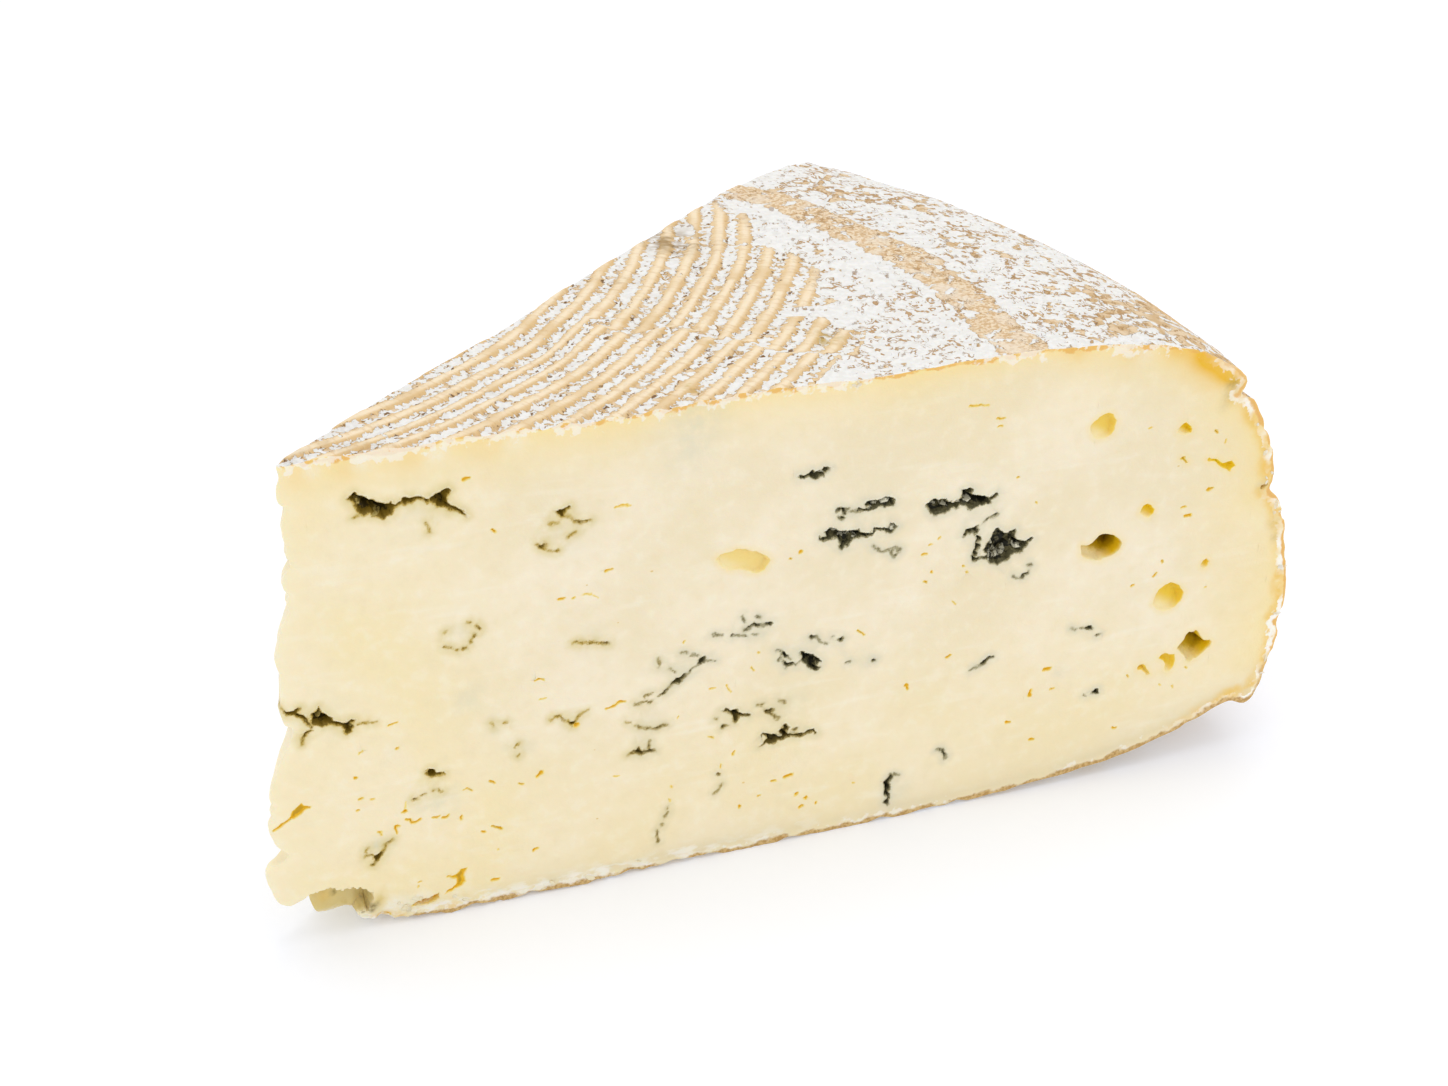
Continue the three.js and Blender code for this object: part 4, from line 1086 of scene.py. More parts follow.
def tint(red, green, blue):
    """A colour given as a paint chart gives it, from 0 to 255, made linear."""
    return tuple(((c / 255 + 0.055) / 1.055) ** 2.4 for c in (red, green, blue)) + (1.0,)


def add_node(tree, kind, inputs, **settings):
    """Adds a node to a tree, with a link or a plain value at each of the inputs named."""
    node = tree.nodes.new(kind)
    for name, value in settings.items():
        setattr(node, name, value)
    for socket, value in inputs.items():
        if isinstance(value, bpy.types.NodeSocket):
            tree.links.new(value, node.inputs[socket])
        else:
            node.inputs[socket].default_value = value
    return node.outputs


class Finish:
    """The nodes of one material, with a short way to add each kind."""

    def __init__(self, material):
        material.use_nodes = True
        self.tree = material.node_tree
        self.tree.nodes.clear()
        self.place = self.add("ShaderNodeTexCoord")["Object"]
        self.colour = None

    def add(self, kind, inputs=(), **settings):
        return add_node(self.tree, kind, dict(inputs), **settings)

    def math(self, operation, *values):
        return self.add("ShaderNodeMath", enumerate(values), operation=operation)[0]

    def times(self, one, two):
        return self.math("MULTIPLY", one, two)

    def plus(self, one, two):
        return self.math("ADD", one, two)

    def less(self, one, two):
        return self.math("SUBTRACT", one, two)

    def rest(self, share):
        return self.math("SUBTRACT", 1.0, share)

    def ramp(self, value, low, high, least=0.0, most=1.0):
        """Goes smoothly from least to most as the value goes from low to high."""
        return self.add("ShaderNodeMapRange", {
            "Value": value, "From Min": low, "From Max": high, "To Min": least, "To Max": most,
        }, interpolation_type="SMOOTHSTEP")["Result"]

    def blend(self, share, under, over):
        """Mixes two colours, which go in by number: a mix node has sockets of each name
        for every type of value."""
        return self.add("ShaderNodeMix", {0: share, 6: under, 7: over}, data_type="RGBA")[2]

    def lay(self, share, paint):
        """Lays paint over the colour so far, as strongly as share says."""
        self.colour = self.blend(share, self.colour, paint)

    def stored(self, name):
        """A value that the mesh has stored at its points."""
        return self.add("ShaderNodeAttribute", attribute_name=name)["Fac"]

    def together(self, *numbers):
        """A place to read noise at, put together from up to three numbers."""
        return self.add("ShaderNodeCombineXYZ", enumerate(numbers))[0]

    def moved(self, place, shift, stretch):
        return self.add("ShaderNodeMapping", {
            "Vector": place or self.place, "Location": shift, "Scale": stretch})["Vector"]

    def grain(self, size, detail=2.0, shift=0.0, place=None, warp=0.0, stretch=(1, 1, 1),
              nudge=(0, 0, 0)):
        """Noise with lumps about size millimetres across, from 0 to 1."""
        start = tuple(shift + n * MM for n in nudge)
        return self.add("ShaderNodeTexNoise", {
            "Vector": self.moved(place, start, stretch), "Scale": 1 / (size * MM),
            "Detail": detail, "Distortion": warp})["Fac"]

    def specks(self, spacing, shift, place=None, stretch=(1, 1, 1)):
        """Distance in millimetres to the nearest of many scattered spots, and a
        random number for that spot."""
        cells = self.add("ShaderNodeTexVoronoi", {
            "Vector": self.moved(place, (shift, shift, shift), stretch),
            "Scale": 1 / (spacing * MM)})
        split = self.add("ShaderNodeSeparateColor", {"Color": cells["Color"]})
        return self.times(cells["Distance"], spacing), split["Red"]

    def relief(self, height, depth, under=None):
        """Fine relief too small for the mesh; depth is in millimetres."""
        inputs = {"Strength": 1.0, "Distance": depth * MM, "Height": height}
        if under is not None:
            inputs["Normal"] = under
        return self.add("ShaderNodeBump", inputs)["Normal"]

    def show(self, inputs):
        """Ends the material in a surface under which light scatters a little."""
        surface = self.add("ShaderNodeBsdfPrincipled", {
            "Subsurface Radius": (1.0, 0.7, 0.4), **inputs})
        self.add("ShaderNodeOutputMaterial", {"Surface": surface["BSDF"]})


# The paste: moist and faintly translucent, ivory; yellower towards the foot and the tip,
# golden just inside the side rind, greenish close above the base. Mould lines the
# cracks, olive near the tip and nearly black further in, with pale down standing in them.
paste = Finish(paste_material)
crack, eye, deep = paste.stored("crack"), paste.stored("eye"), paste.stored("deep")
amber, rim, roof = paste.stored("amber"), paste.stored("rim"), paste.stored("roof")
clouds = paste.grain(15, 3, 0.4)
mottle = paste.grain(1.6, 4, 0.1)
fine = paste.grain(0.35, 3, 0.7)
crisp = paste.grain(0.16, 2, 1.7)
paste.colour = paste.blend(paste.ramp(clouds, 0.35, 0.65), tint(239, 225, 191), tint(245, 232, 204))
butter = paste.times(paste.stored("butter"), paste.ramp(clouds, 0.7, 0.3, 0.4, 0.85))
paste.lay(butter, tint(246, 229, 180))
paste.lay(paste.ramp(mottle, 0.5, 0.75, 0, 0.3), tint(235, 219, 178))
paste.lay(paste.ramp(mottle, 0.5, 0.25, 0, 0.35), tint(249, 241, 218))
streak = paste.grain(1.6, 4, 2.9, stretch=(0.16, 1, 1))
paste.lay(paste.ramp(streak, 0.58, 0.76, 0, 0.3), tint(249, 242, 222))
golden = paste.stored("golden")
paste.lay(paste.times(golden, 0.75), tint(248, 222, 144))
paste.lay(paste.stored("yellowed"), tint(222, 198, 122))
whitened = paste.times(paste.stored("whitened"), paste.ramp(fine, 0.3, 0.6, 0.5, 0.9))
paste.lay(whitened, tint(245, 241, 226))
green = paste.times(paste.stored("olive"), paste.ramp(clouds, 0.25, 0.65, 0.15, 0.55))
paste.lay(green, tint(214, 201, 160))
paste.lay(paste.times(paste.stored("tip"), 0.5), tint(246, 237, 206))
cloudy = paste.times(paste.stored("cloudy"), paste.ramp(mottle, 0.3, 0.65, 0.3, 1))
paste.lay(cloudy, tint(214, 213, 190))
prick, chance = paste.specks(2.4, 0.3, stretch=(0.7, 1, 1))
size = paste.ramp(chance, 0.5, 1.0, -0.05, 0.15)
pinhole = paste.ramp(paste.less(size, prick), 0.0, 0.06, 0, 0.8)
paste.lay(pinhole, tint(224, 194, 120))
faint, oily = paste.stored("faint"), paste.stored("oily")
bruise = paste.times(paste.ramp(crack, -1.2, -0.02), paste.ramp(mottle, 0.25, 0.6, 0.3, 0.75))
paste.lay(bruise, paste.blend(oily, tint(219, 212, 186), tint(222, 205, 146)))
bruise = paste.times(paste.ramp(crack, -0.32, 0.0), paste.ramp(mottle, 0.3, 0.6, 0.2, 0.6))
paste.lay(bruise, paste.blend(oily, tint(184, 177, 144), tint(190, 164, 78)))

# Openings: amber slits, eyes that deepen from pale to olive brown, their darkest depths
# partly painted shade, and the torn foot.
paste.lay(paste.ramp(amber, -0.14, 0.02, 0, 0.85), tint(242, 216, 114))
paste.lay(paste.ramp(amber, 0.0, 0.1), tint(238, 190, 26))
paste.lay(paste.ramp(amber, 0.14, 0.32, 0, 0.85), tint(192, 148, 8))
paste.lay(paste.ramp(eye, -0.9, 0.0, 0, 0.45), tint(242, 220, 160))
paste.lay(paste.ramp(eye, -0.1, 0.06, 0, 0.95), tint(247, 229, 176))
sill = paste.times(paste.ramp(deep, 1.1, 2.0), paste.ramp(eye, -0.05, 0.1))
paste.lay(sill, tint(226, 206, 130))
gilt = paste.times(paste.stored("gilt"), paste.ramp(eye, -0.05, 0.1))
paste.lay(gilt, tint(241, 205, 26))
# Deeper in, the eyes darken to olive brown: partly their own colour, partly painted shade in their depths.
sunk_eye = paste.plus(deep, paste.ramp(fine, 0.25, 0.75, -0.12, 0.12))
paste.lay(paste.ramp(sunk_eye, 0.9, 2.0), tint(190, 156, 6))
paste.lay(paste.ramp(sunk_eye, 1.9, 2.9), tint(132, 100, 2))
torn = paste.ramp(paste.stored("broken"), -0.05, 0.12)
torn_colour = paste.blend(paste.ramp(clouds, 0.35, 0.65), tint(212, 190, 122), tint(228, 212, 156))
torn_colour = paste.blend(paste.ramp(mottle, 0.45, 0.25, 0, 0.5), torn_colour, tint(196, 170, 92))
paste.lay(torn, torn_colour)
paste.lay(paste.times(paste.stored("gilded"), 0.92), tint(236, 184, 34))
# Painted shade in the nooks of the broken foot and by the side rind.
nook_shade = paste.times(paste.stored("nook_shade"), paste.ramp(fine, 0.3, 0.7, 0.6, 1))
paste.lay(nook_shade, tint(122, 104, 42))

# Mould, from its feathered edge to its dark core, then the down. Under each opening's upper
# lip the core is deepened by painted shade, and the lip carries a painted highlight. Thin
# veins are only olive threads with darker beads.
feather = paste.plus(crack, paste.ramp(fine, 0.3, 0.7, -0.05, 0.05))
feather = paste.plus(feather, paste.ramp(crisp, 0.3, 0.7, -0.04, 0.04))
# A painted highlight on the upper lip that overhangs each opening.
lip = paste.times(paste.ramp(feather, -0.3, -0.08), paste.ramp(roof, 0.2, 0.6, 0, 0.6))
lip = paste.times(lip, paste.rest(faint))
paste.lay(lip, tint(250, 243, 222))
edge_colour = paste.blend(oily, tint(150, 140, 98), tint(186, 156, 64))
mid_colour = paste.blend(oily, tint(88, 83, 54), tint(130, 105, 28))
core_colour = paste.blend(oily, tint(35, 34, 22), tint(56, 44, 8))
bead = paste.ramp(paste.grain(0.55, 2, 4.1), 0.44, 0.58, 1.0, 0.15)
thin = paste.rest(paste.times(faint, bead))
edge = paste.times(paste.ramp(feather, -0.16, 0.0, 0, 0.9), thin)
paste.lay(edge, edge_colour)
thread = paste.times(paste.ramp(feather, -0.1, 0.04, 0, 0.75), faint)
paste.lay(thread, edge_colour)
paste.lay(paste.times(paste.ramp(feather, -0.01, 0.08), thin), mid_colour)
# Under each opening's upper lip the dark core reaches nearer the edge: painted shade beneath the overhang.
shade = paste.plus(feather, paste.times(roof, 0.1))
shade = paste.less(shade, paste.times(oily, 0.14))
shade = paste.plus(shade, paste.ramp(mottle, 0.35, 0.65, 0.06, -0.08))
dark = paste.times(thin, paste.rest(paste.times(faint, 0.5)))
paste.lay(paste.times(paste.ramp(shade, 0.1, 0.26), dark), core_colour)
ash = paste.ramp(paste.grain(0.7, 3, 2.1), 0.5, 0.6, 0, 0.7)
ash_colour = paste.blend(oily, tint(128, 120, 84), tint(120, 98, 30))
paste.lay(paste.times(ash, paste.ramp(feather, 0.1, 0.26)), ash_colour)
tuft = paste.plus(paste.stored("tuft"), paste.ramp(fine, 0.3, 0.7, -0.08, 0.08))
tuft_colour = paste.blend(oily, tint(214, 209, 184), tint(166, 146, 78))
paste.lay(paste.ramp(tuft, -0.06, 0.04), tuft_colour)

# The skin where the knife passed through the rind: a golden line, with torn white flakes.
edge_wave = paste.ramp(mottle, 0.3, 0.7, -0.3, 0.3)
sidelong = paste.stored("sidelong")
waved = paste.plus(rim, edge_wave)
skin = paste.ramp(waved, 0.5, 0.2)
paste.lay(paste.times(skin, 0.85), tint(232, 180, 88))
glow = paste.times(paste.ramp(waved, 2.5, 0.9), sidelong)
glow = paste.times(glow, paste.ramp(paste.grain(3.2, 2, 6.4), 0.35, 0.6, 0.25, 0.85))
paste.lay(glow, tint(238, 198, 96))
strip = paste.plus(waved, paste.ramp(paste.grain(0.6, 3, 7.4), 0.3, 0.7, -0.28, 0.28))
worn_away = paste.ramp(paste.grain(3.6, 3, 2.2), 0.42, 0.6, 0.1, 1)
strip = paste.times(paste.ramp(strip, 1.2, 0.95), worn_away)
paste.lay(paste.times(strip, sidelong), tint(252, 246, 234))
outer = paste.times(paste.ramp(waved, 0.5, 0.2), sidelong)
paste.lay(outer, tint(230, 182, 104))
hung = paste.plus(paste.grain(0.9, 5, 3.3), paste.ramp(rim, 0.1, 1.7, 0.06, -0.14))
hung = paste.plus(hung, paste.ramp(paste.grain(7, 2, 4.7), 0.35, 0.65, -0.14, 0.05))
hung = paste.plus(hung, paste.times(paste.stored("towards_tip"), 0.1))
hung = paste.times(paste.ramp(hung, 0.5, 0.58, 0, 0.65), paste.ramp(rim, 1.8, 1.2))
hung = paste.times(hung, paste.ramp(sidelong, 0.2, 0.7, 1, 0))
paste.lay(hung, tint(247, 243, 232))
flaky = paste.grain(1.0, 4, 5.1, stretch=(0.4, 1, 1))
flaky = paste.times(paste.stored("crumbly"), paste.ramp(flaky, 0.46, 0.62, 0, 0.9))
paste.lay(flaky, tint(246, 242, 230))
# Along the base, a tan crust line, darkened and widened into painted shadow under the lower edge.
foot_line_and_shade = paste.times(paste.ramp(waved, 0.8, 0.4), paste.rest(paste.stored("upper")))
foot_crust_and_shade_colour = paste.blend(paste.ramp(fine, 0.4, 0.6), tint(184, 146, 84), tint(212, 180, 122))
paste.lay(foot_line_and_shade, foot_crust_and_shade_colour)
smear = paste.grain(0.5, 3, 0.9, stretch=(0.2, 1, 1))
paste.show({
    "Base Color": paste.colour,
    "Roughness": paste.ramp(fine, 0.2, 0.8, 0.38, 0.58),
    "Subsurface Weight": paste.ramp(crack, -0.1, 0.1, 0.25, 0.0),
    "Subsurface Scale": 1.3 * MM,
    "Specular IOR Level": 0.3,
    "Normal": paste.relief(fine, 0.035, paste.relief(smear, 0.03)),
})

# The rind: smooth tan cords, lit by a painted highlight down their middle and darkened
# by painted shade along one side, a torn white crust between them with its small holes
# in shadow, curled tan threads in the chalk out to the rim, and a granular tan band.
rind = Finish(rind_material)
across, along = rind.stored("ribs"), rind.stored("along")
printed = rind.together(rind.times(across, MM), rind.times(along, MM))
round_rim = rind.together(rind.times(rind.stored("wheel"), MM),
                          rind.times(rind.stored("turn"), 0.5 * MM),
                          rind.times(rind.stored("height"), MM))
lane = rind.plus(rind.math("DIVIDE", across, RIB_PITCH), 0.5)
turned = rind.less(rind.math("FRACT", lane), 0.5)
offset = rind.times(turned, RIB_PITCH)
beside = rind.math("ABSOLUTE", offset)
ribbed = rind.ramp(rind.stored("ribbed"), 0.15, 0.6)
band, side = rind.stored("band"), rind.stored("sidewall")
patch = rind.grain(4.5, 3, 0.2)
chalk = rind.grain(0.3, 2, 0.9)
teeth = rind.grain(0.5, 2, 3.9, place=printed, stretch=(0.35, 1, 1))
ragged = rind.plus(rind.ramp(teeth, 0.3, 0.7, -0.27, 0.27),
                   rind.ramp(rind.grain(2.6, 2, 6.8), 0.3, 0.7, -0.18, 0.18))
ragged = rind.plus(beside, ragged)
cord = rind.times(rind.ramp(ragged, 0.98, 0.66), ribbed)
low = rind.ramp(rind.stored("height"), 4.5, 2.0)
covered = rind.ramp(rind.grain(5, 3, 5.3), 0.56, 0.72, 1.0, 0.35)
shoulder = rind.ramp(rind.stored("wheel"), 99.5, 104.5)
# How readily white crust grows: less on cords, on the band and by the table.
chalky = rind.plus(rind.ramp(patch, 0.3, 0.7, 0.05, -0.05), 0.15)
chalky = rind.less(chalky, rind.times(rind.times(cord, covered), 0.36))
chalky = rind.less(chalky, rind.times(band, 0.27))
chalky = rind.less(chalky, rind.times(rind.stored("bared"), 0.18))
bloomier = rind.ramp(rind.grain(13, 2, 3.6), 0.35, 0.65, -0.06, 0.1)
chalky = rind.plus(chalky, rind.times(side, bloomier))
chalky = rind.less(chalky, rind.times(shoulder, 0.14))
chalky = rind.less(chalky, rind.times(low, 0.14))
chalky = rind.less(chalky, rind.times(ribbed, 0.06))
outside = rind.ramp(rind.stored("wheel"), 80, 88, 0.03, -0.03)
chalky = rind.plus(chalky, rind.times(outside, rind.rest(ribbed)))


def crusted(nudge):
    """How much crust there is at a spot nudged by some millimetres; over 0.5 is white."""
    torn_edge = rind.grain(1.6, 4, 0.5, warp=0.4, nudge=nudge)
    lane_edge = rind.grain(0.75, 3, 0.9, warp=0.5, nudge=nudge)
    return rind.plus(rind.ramp(ribbed, 0.0, 1.0, torn_edge, lane_edge), chalky)


crust = crusted((0, 0, 0))
white_part = rind.ramp(crust, 0.49, 0.52)
shadowed = rind.ramp(crusted((-0.16, 0.1, 0.0)), 0.49, 0.53)
shadowed = rind.times(shadowed, rind.ramp(crust, 0.51, 0.47))
shadowed = rind.times(shadowed, rind.ramp(rind.grain(0.8, 1, 6.3), 0.4, 0.55))
curl_field = rind.grain(1.5, 2, 1.4, place=round_rim, warp=1.0, stretch=(1.5, 0.9, 1.5))
curl_width = rind.ramp(rind.grain(7, 2, 7.7), 0.35, 0.65, -0.012, 0.06)
curl_width = rind.plus(curl_width, rind.ramp(rind.stored("wheel"), 80, 84, 0, 0.02))
curls = rind.less(curl_width, rind.math("ABSOLUTE", rind.less(curl_field, 0.5)))
curls = rind.times(rind.ramp(curls, 0.0, 0.01), rind.ramp(rind.grain(1.1, 1, 2.6), 0.5, 0.56))
curls = rind.times(curls, rind.rest(rind.times(ribbed, 0.9)))
prick, chance = rind.specks(0.75, 0.6, place=printed, stretch=(1, 0.7, 1))
prick_size = rind.ramp(chance, rind.ramp(ribbed, 0.0, 1.0, 0.65, 0.36), 1.0, -0.05, 0.25)
by_a_cord = rind.ramp(ragged, 1.4, 0.95, -0.06, 0.05)
prick_size = rind.plus(prick_size, rind.times(ribbed, by_a_cord))
prick_size = rind.plus(prick_size, rind.ramp(rind.grain(4, 2, 5.5), 0.35, 0.65, -0.02, 0.06))
holes = rind.less(rind.plus(prick_size, rind.ramp(chalk, 0.3, 0.7, -0.1, 0.1)), prick)
on_a_cord = rind.times(ribbed, rind.ramp(ragged, 0.95, 0.75))
holes = rind.times(rind.ramp(holes, 0.0, 0.06), rind.rest(on_a_cord))
holes = rind.times(holes, rind.plus(rind.times(ribbed, 0.4), 0.55))

ground = rind.blend(rind.ramp(rind.grain(1.3, 3, 8.1), 0.4, 0.6), tint(224, 200, 166), tint(204, 172, 128))
warmer = rind.times(rind.ramp(patch, 0.4, 0.6, 0.3, 0.9), rind.math("MAXIMUM", side, shoulder))
ground = rind.blend(warmer, ground, tint(224, 184, 122))
paler = rind.times(side, rind.ramp(rind.grain(9, 3, 2.8), 0.35, 0.65, 0.2, 0.8))
ground = rind.blend(paler, ground, tint(216, 188, 148))
streak = rind.grain(0.5, 3, 1.9, place=printed, stretch=(0.3, 1, 1))
# The cords' tan: a painted highlight down the middle and painted shade along one side, darker at their
# torn edges, with streaks and patches of their own.
cord_with_painted_light = rind.blend(rind.ramp(beside, 0.1, 0.65), tint(240, 222, 192), tint(230, 204, 162))
cord_with_painted_light = rind.blend(rind.ramp(offset, 0.2, 0.85, 0, 0.65), cord_with_painted_light, tint(208, 170, 112))
cord_with_painted_light = rind.blend(rind.ramp(ragged, 0.62, 0.85, 0, 0.65), cord_with_painted_light, tint(194, 152, 92))
cord_with_painted_light = rind.blend(rind.ramp(streak, 0.5, 0.7, 0, 0.4), cord_with_painted_light, tint(208, 172, 120))
cord_with_painted_light = rind.blend(rind.ramp(streak, 0.44, 0.28, 0, 0.5), cord_with_painted_light, tint(240, 226, 200))
cord_with_painted_light = rind.blend(rind.ramp(rind.grain(6, 2, 9.2), 0.5, 0.7, 0, 0.6), cord_with_painted_light, tint(216, 183, 130))
ground = rind.blend(cord, ground, cord_with_painted_light)
grit = rind.grain(0.4, 3, 4.4)
worn = rind.blend(rind.ramp(grit, 0.4, 0.6), tint(206, 172, 128), tint(232, 213, 184))
worn = rind.blend(rind.ramp(rind.grain(3.5, 3, 5.7), 0.5, 0.65, 0, 0.7), worn, tint(232, 218, 198))
ground = rind.blend(band, ground, worn)
ground = rind.blend(shadowed, ground, rind.blend(ribbed, tint(168, 132, 86), tint(150, 114, 64)))
by_table = rind.blend(rind.ramp(grit, 0.4, 0.6), tint(188, 156, 98), tint(220, 192, 140))
ground = rind.blend(low, ground, by_table)
white = rind.blend(rind.ramp(rind.grain(0.7, 3, 3.1), 0.4, 0.65), tint(228, 226, 222), tint(235, 234, 231))
rind.colour = rind.blend(white_part, ground, white)
open_pit = rind.blend(rind.ramp(chance, 0.82, 0.97), tint(180, 142, 92), tint(136, 98, 50))
ribbed_pit = rind.blend(rind.ramp(chance, 0.7, 0.95), tint(158, 116, 58), tint(122, 84, 34))
rind.lay(holes, rind.blend(ribbed, open_pit, ribbed_pit))
rind.lay(rind.times(curls, 0.9), tint(182, 142, 92))
rind.lay(rind.stored("greyed"), tint(148, 116, 62))
rind.lay(rind.stored("ochred"), tint(196, 166, 92))
raised = rind.less(white_part, rind.plus(holes, curls))
rind.show({
    "Base Color": rind.colour,
    "Roughness": rind.ramp(white_part, 0.0, 1.0, 0.6, 0.85),
    "Subsurface Weight": 0.1,
    "Subsurface Scale": 0.8 * MM,
    "Specular IOR Level": 0.2,
    "Normal": rind.relief(chalk, 0.025, rind.relief(raised, 0.08)),
})

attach(cheese, "root")
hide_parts("cheese_wedge")


# ======================================================================================
# Crumbs and torn shreds
# The knife dragged soft crumbs along the foot of the cut and pulled small shreds of rind
# over its upper and outer edges. Both stick to the paste, half sunk in it.
# ======================================================================================

def strewing():
    """A tree that strews flattened bits over a surface, thickest where the surface's
    strewn value is 1, and ends in plain painted mesh."""
    tree = bpy.data.node_groups.new("strewing", "GeometryNodeTree")
    tree.interface.new_socket("Surface", in_out="INPUT", socket_type="NodeSocketGeometry")
    for label in ("Bits per square metre", "Bit length", "Bit thickness", "Raggedness"):
        tree.interface.new_socket(label, in_out="INPUT", socket_type="NodeSocketFloat")
    tree.interface.new_socket("Seed", in_out="INPUT", socket_type="NodeSocketInt")
    tree.interface.new_socket("Paint", in_out="INPUT", socket_type="NodeSocketMaterial")
    tree.interface.new_socket("Bits", in_out="OUTPUT", socket_type="NodeSocketGeometry")

    def add(kind, inputs, **settings):
        return add_node(tree, kind, inputs, **settings)

    given = add("NodeGroupInput", {})
    share = add("GeometryNodeInputNamedAttribute", {"Name": "strewn"}, data_type="FLOAT")
    crowd = add("ShaderNodeMath", {0: given["Bits per square metre"], 1: share["Attribute"]},
                operation="MULTIPLY")
    spots = add("GeometryNodeDistributePointsOnFaces", {
        "Mesh": given["Surface"], "Density": crowd["Value"], "Seed": given["Seed"]})

    lump = add("GeometryNodeMeshUVSphere", {"Segments": 8, "Rings": 6, "Radius": 0.5})
    breadth = add("ShaderNodeMath", {0: given["Bit length"], 1: 0.7}, operation="MULTIPLY")
    span = add("ShaderNodeCombineXYZ", {
        "X": given["Bit length"], "Y": breadth["Value"], "Z": given["Bit thickness"]})
    flattened = add("GeometryNodeTransform", {"Geometry": lump["Mesh"], "Scale": span["Vector"]})

    knobs = add("ShaderNodeTexNoise", {"Scale": 1 / (0.3 * MM)})
    middle = add("ShaderNodeVectorMath", {0: knobs["Color"], 1: (0.5, 0.5, 0.5)}, operation="SUBTRACT")
    push = add("ShaderNodeVectorMath", {0: middle["Vector"], "Scale": given["Raggedness"]},
               operation="SCALE")
    torn = add("GeometryNodeSetPosition", {
        "Geometry": flattened["Geometry"], "Offset": push["Vector"]})

    stretch = add("FunctionNodeRandomValue", {
        "Min": (0.35, 0.35, 0.5), "Max": (1.3, 1, 1), "Seed": given["Seed"]}, data_type="FLOAT_VECTOR")
    placed = add("GeometryNodeInstanceOnPoints", {
        "Points": spots["Points"], "Instance": torn["Geometry"],
        "Rotation": spots["Rotation"], "Scale": stretch["Value"]})
    spin = add("FunctionNodeRandomValue", {
        "Min": (-0.35, -0.35, 0), "Max": (0.35, 0.35, 6.28), "Seed": given["Seed"]},
        data_type="FLOAT_VECTOR")
    turned_about = add("GeometryNodeRotateInstances", {
        "Instances": placed["Instances"], "Rotation": spin["Value"]})

    plain = add("GeometryNodeRealizeInstances", {"Geometry": turned_about["Instances"]})
    painted = add("GeometryNodeSetMaterial", {
        "Geometry": plain["Geometry"], "Material": given["Paint"]})
    add("NodeGroupOutput", {"Bits": painted["Geometry"]})
    return tree


def strewn(name, share, settings):
    """Bits strewn over the paste wherever share is above nothing, as one plain mesh."""
    faces = [tuple(face.vertices) for face in cheese.data.polygons
             if face.material_index == PASTE and share[face.vertices[0]] > 0.01]
    surface = bpy.data.meshes.new(name)
    surface.from_pydata([corner.co for corner in cheese.data.vertices], [], faces)
    add_value(surface, "strewn", share)
    piece = object_of(name, surface)
    strewer = piece.modifiers.new(name, "NODES")
    strewer.node_group = STREWING
    for socket in STREWING.interface.items_tree:
        if socket.name in settings:
            strewer[socket.identifier] = settings[socket.name]
    bake(piece)
    piece.data.polygons.foreach_set("use_smooth", [True] * len(piece.data.polygons))
    return piece


def value_of(name):
    """One of the values stored on the wedge, at each of its points."""
    values = np.empty(len(cheese.data.vertices), np.float32)
    cheese.data.attributes[name].data.foreach_get("value", values)
    return values


def soft_paint(name, pale, tan, tan_share):
    """Crumbled cheese, pale with tan patches."""
    material = bpy.data.materials.new(name)
    finish = Finish(material)
    patches = finish.ramp(finish.grain(0.8, 3, 0.2), 0.4, 0.65, 0, tan_share)
    dust = finish.ramp(finish.grain(0.25, 2, 0.8), 0.3, 0.7, 0.5, 0.7)
    finish.show({
        "Base Color": finish.blend(patches, tint(*pale), tint(*tan)), "Roughness": dust,
        "Subsurface Weight": 0.2, "Subsurface Scale": MM, "Specular IOR Level": 0.25})
    return material


STREWING = strewing()
run, rise = points[:, 0], points[:, 2]
flat = flat_points(points[:, [0, 2]])
on_near = np.abs(points[:, 1]) < 3
rim_gap, wheel_at = value_of("rim"), value_of("wheel")

at_foot = fade(5.2, 6.2, run) * fade(15, 11, run) * fade(3.8, 2.2, rise)
at_edge = 0.5 * fade(10, 13, run) * fade(48, 36, run) * fade(2.2, 1.3, rise)
crumb_share = (at_foot + at_edge) * on_near * fade(0.35, 0.7, rise)
crumb_share *= fade(-0.2, 0.5, grain(flat, 2, 91))
crumbs = strewn("crumbs", crumb_share, {
    "Bits per square metre": 0.9e6, "Bit length": 1.1 * MM, "Bit thickness": 0.36 * MM,
    "Raggedness": 0.3 * MM, "Seed": 5,
    "Paint": soft_paint("crumbled_paste", (240, 229, 198), (226, 204, 152), 0.4),
})

above = fade(1.2, 0.5, rim_gap) * fade(52, 62, wheel_at) * fade(102, 98, wheel_at)
above *= fade(0.0, 0.5, grain(points, 5, 92)) * (rise > 50)
outside_edge = fade(1.5, 0.9, rim_gap) * fade(0.1, 0.35, rim_gap) * fade(104, 107, wheel_at)
outside_edge *= fade(8, 11, rise) * fade(-0.3, 0.3, grain(points, 2.5, 93))
shreds = strewn("torn_shreds", above + 0.7 * outside_edge, {
    "Bits per square metre": 1.1e6, "Bit length": 1.0 * MM, "Bit thickness": 0.2 * MM,
    "Raggedness": 0.24 * MM, "Seed": 8,
    "Paint": soft_paint("torn_rind", (246, 238, 218), (238, 206, 144), 0.7),
})

for bits in (crumbs, shreds):
    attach(bits, "root")


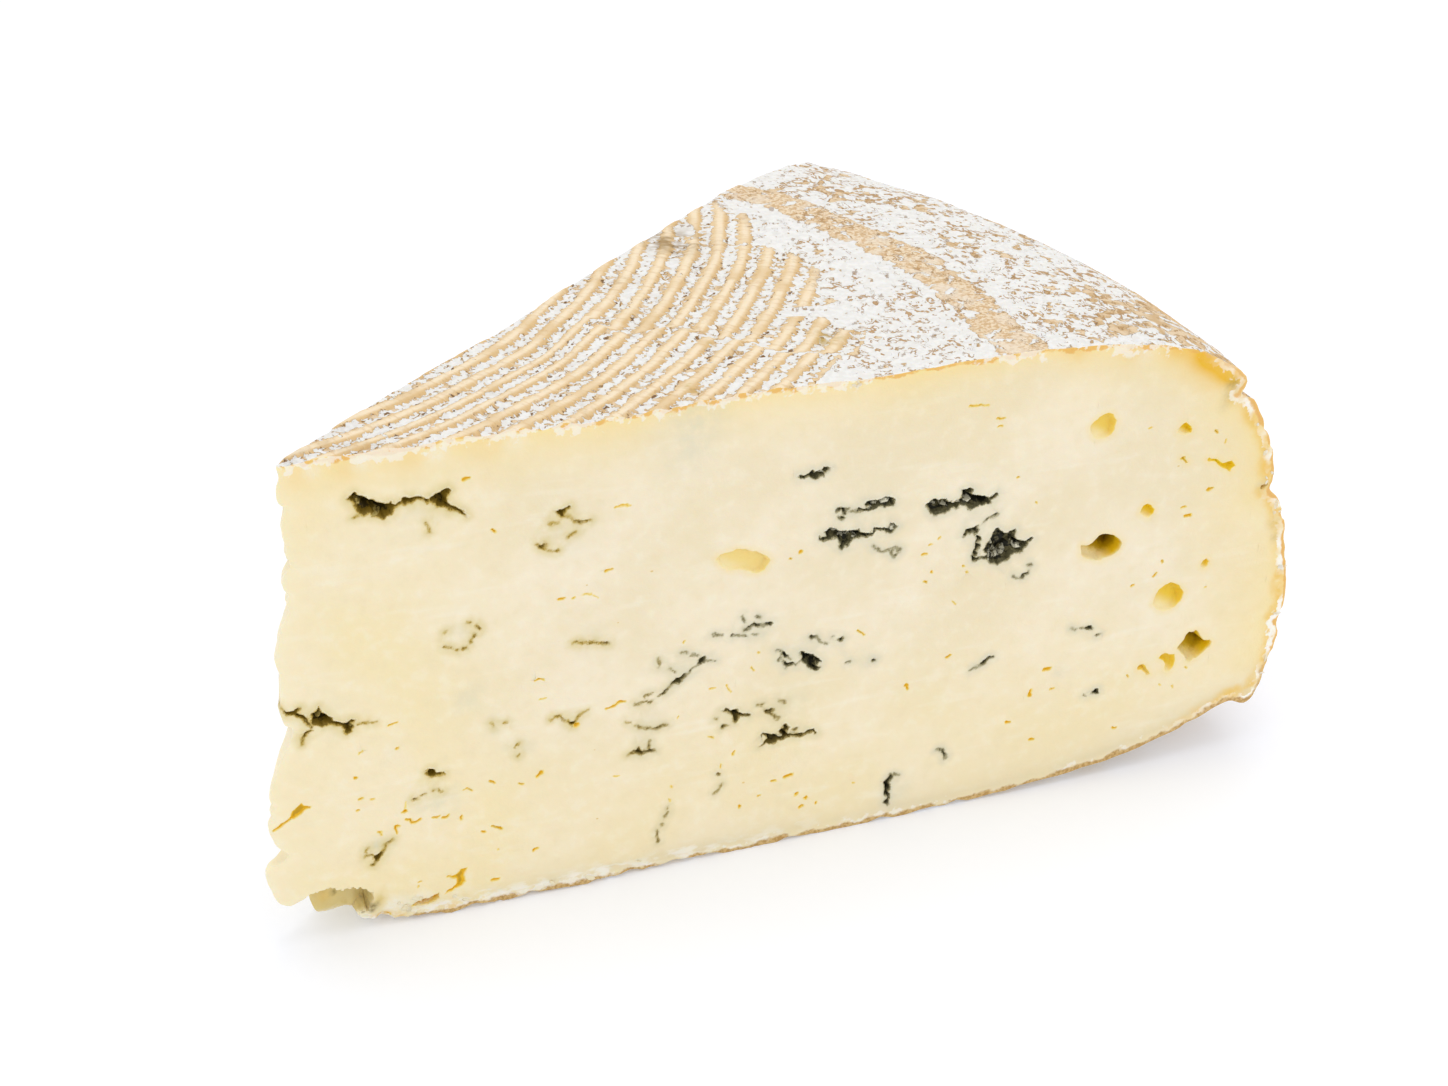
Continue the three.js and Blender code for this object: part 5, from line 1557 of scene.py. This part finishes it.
# ======================================================================================
# The table and the light
# A pale matt table under a wide white sky, with one large soft lamp overhead, a little
# towards the rind. Only the wedge belongs to the part.
# ======================================================================================

TABLE_HALF = 3.0               # half its width; here and below, places are in metres
TABLE_TOP = -0.00005           # just under the wedge, so that the two don't share a plane
CAMERA_PLACE, CAMERA_TARGET = (-0.08255, -0.25013, 0.17888), (0.001108, -0.007034, 0.022257)
LAMP_PLACE, LAMP_TARGET = (0.14, 0.02, 0.87), (0, 0, 0.03)

table = bpy.data.meshes.new("table")
corners = [(-1, -1), (1, -1), (1, 1), (-1, 1)]
table.from_pydata([(x * TABLE_HALF, y * TABLE_HALF, TABLE_TOP) for x, y in corners], [], [(0, 1, 2, 3)])
table_paint = bpy.data.materials.new("table_paint")
table_paint.use_nodes = True
paint = table_paint.node_tree.nodes["Principled BSDF"]
paint.inputs["Base Color"].default_value = (0.835, 0.85, 0.9, 1)
paint.inputs["Emission Color"].default_value = (0.95, 0.97, 1, 1)
paint.inputs["Emission Strength"].default_value = 0.165
paint.inputs["Roughness"].default_value = 0.9
paint.inputs["Specular IOR Level"].default_value = 0.0
table.materials.append(table_paint)
object_of("table", table)

sky = bpy.data.worlds.new("sky")
sky.use_nodes = True
sky.node_tree.nodes["Background"].inputs["Color"].default_value = (1, 1, 1, 1)
sky.node_tree.nodes["Background"].inputs["Strength"].default_value = 0.94
bpy.context.scene.world = sky


def aim(thing, place, target):
    """Puts a lamp or camera at a place and turns it to look at a target."""
    thing.location = place
    line = thing.location.copy()
    line.x, line.y, line.z = (target[i] - place[i] for i in range(3))
    thing.rotation_euler = line.to_track_quat("-Z", "Y").to_euler()


lamp = bpy.data.lights.new("soft_lamp", "AREA")
lamp.energy = 1.45
lamp.size = 0.6
aim(object_of("soft_lamp", lamp), LAMP_PLACE, LAMP_TARGET)

lens = bpy.data.cameras.new("camera")
lens.sensor_width = 36.0
lens.lens = 62.155
lens.clip_start = 0.01
lens.clip_end = 20
camera = object_of("camera", lens)
aim(camera, CAMERA_PLACE, CAMERA_TARGET)
bpy.context.scene.camera = camera
bpy.context.scene.view_settings.view_transform = "Standard"
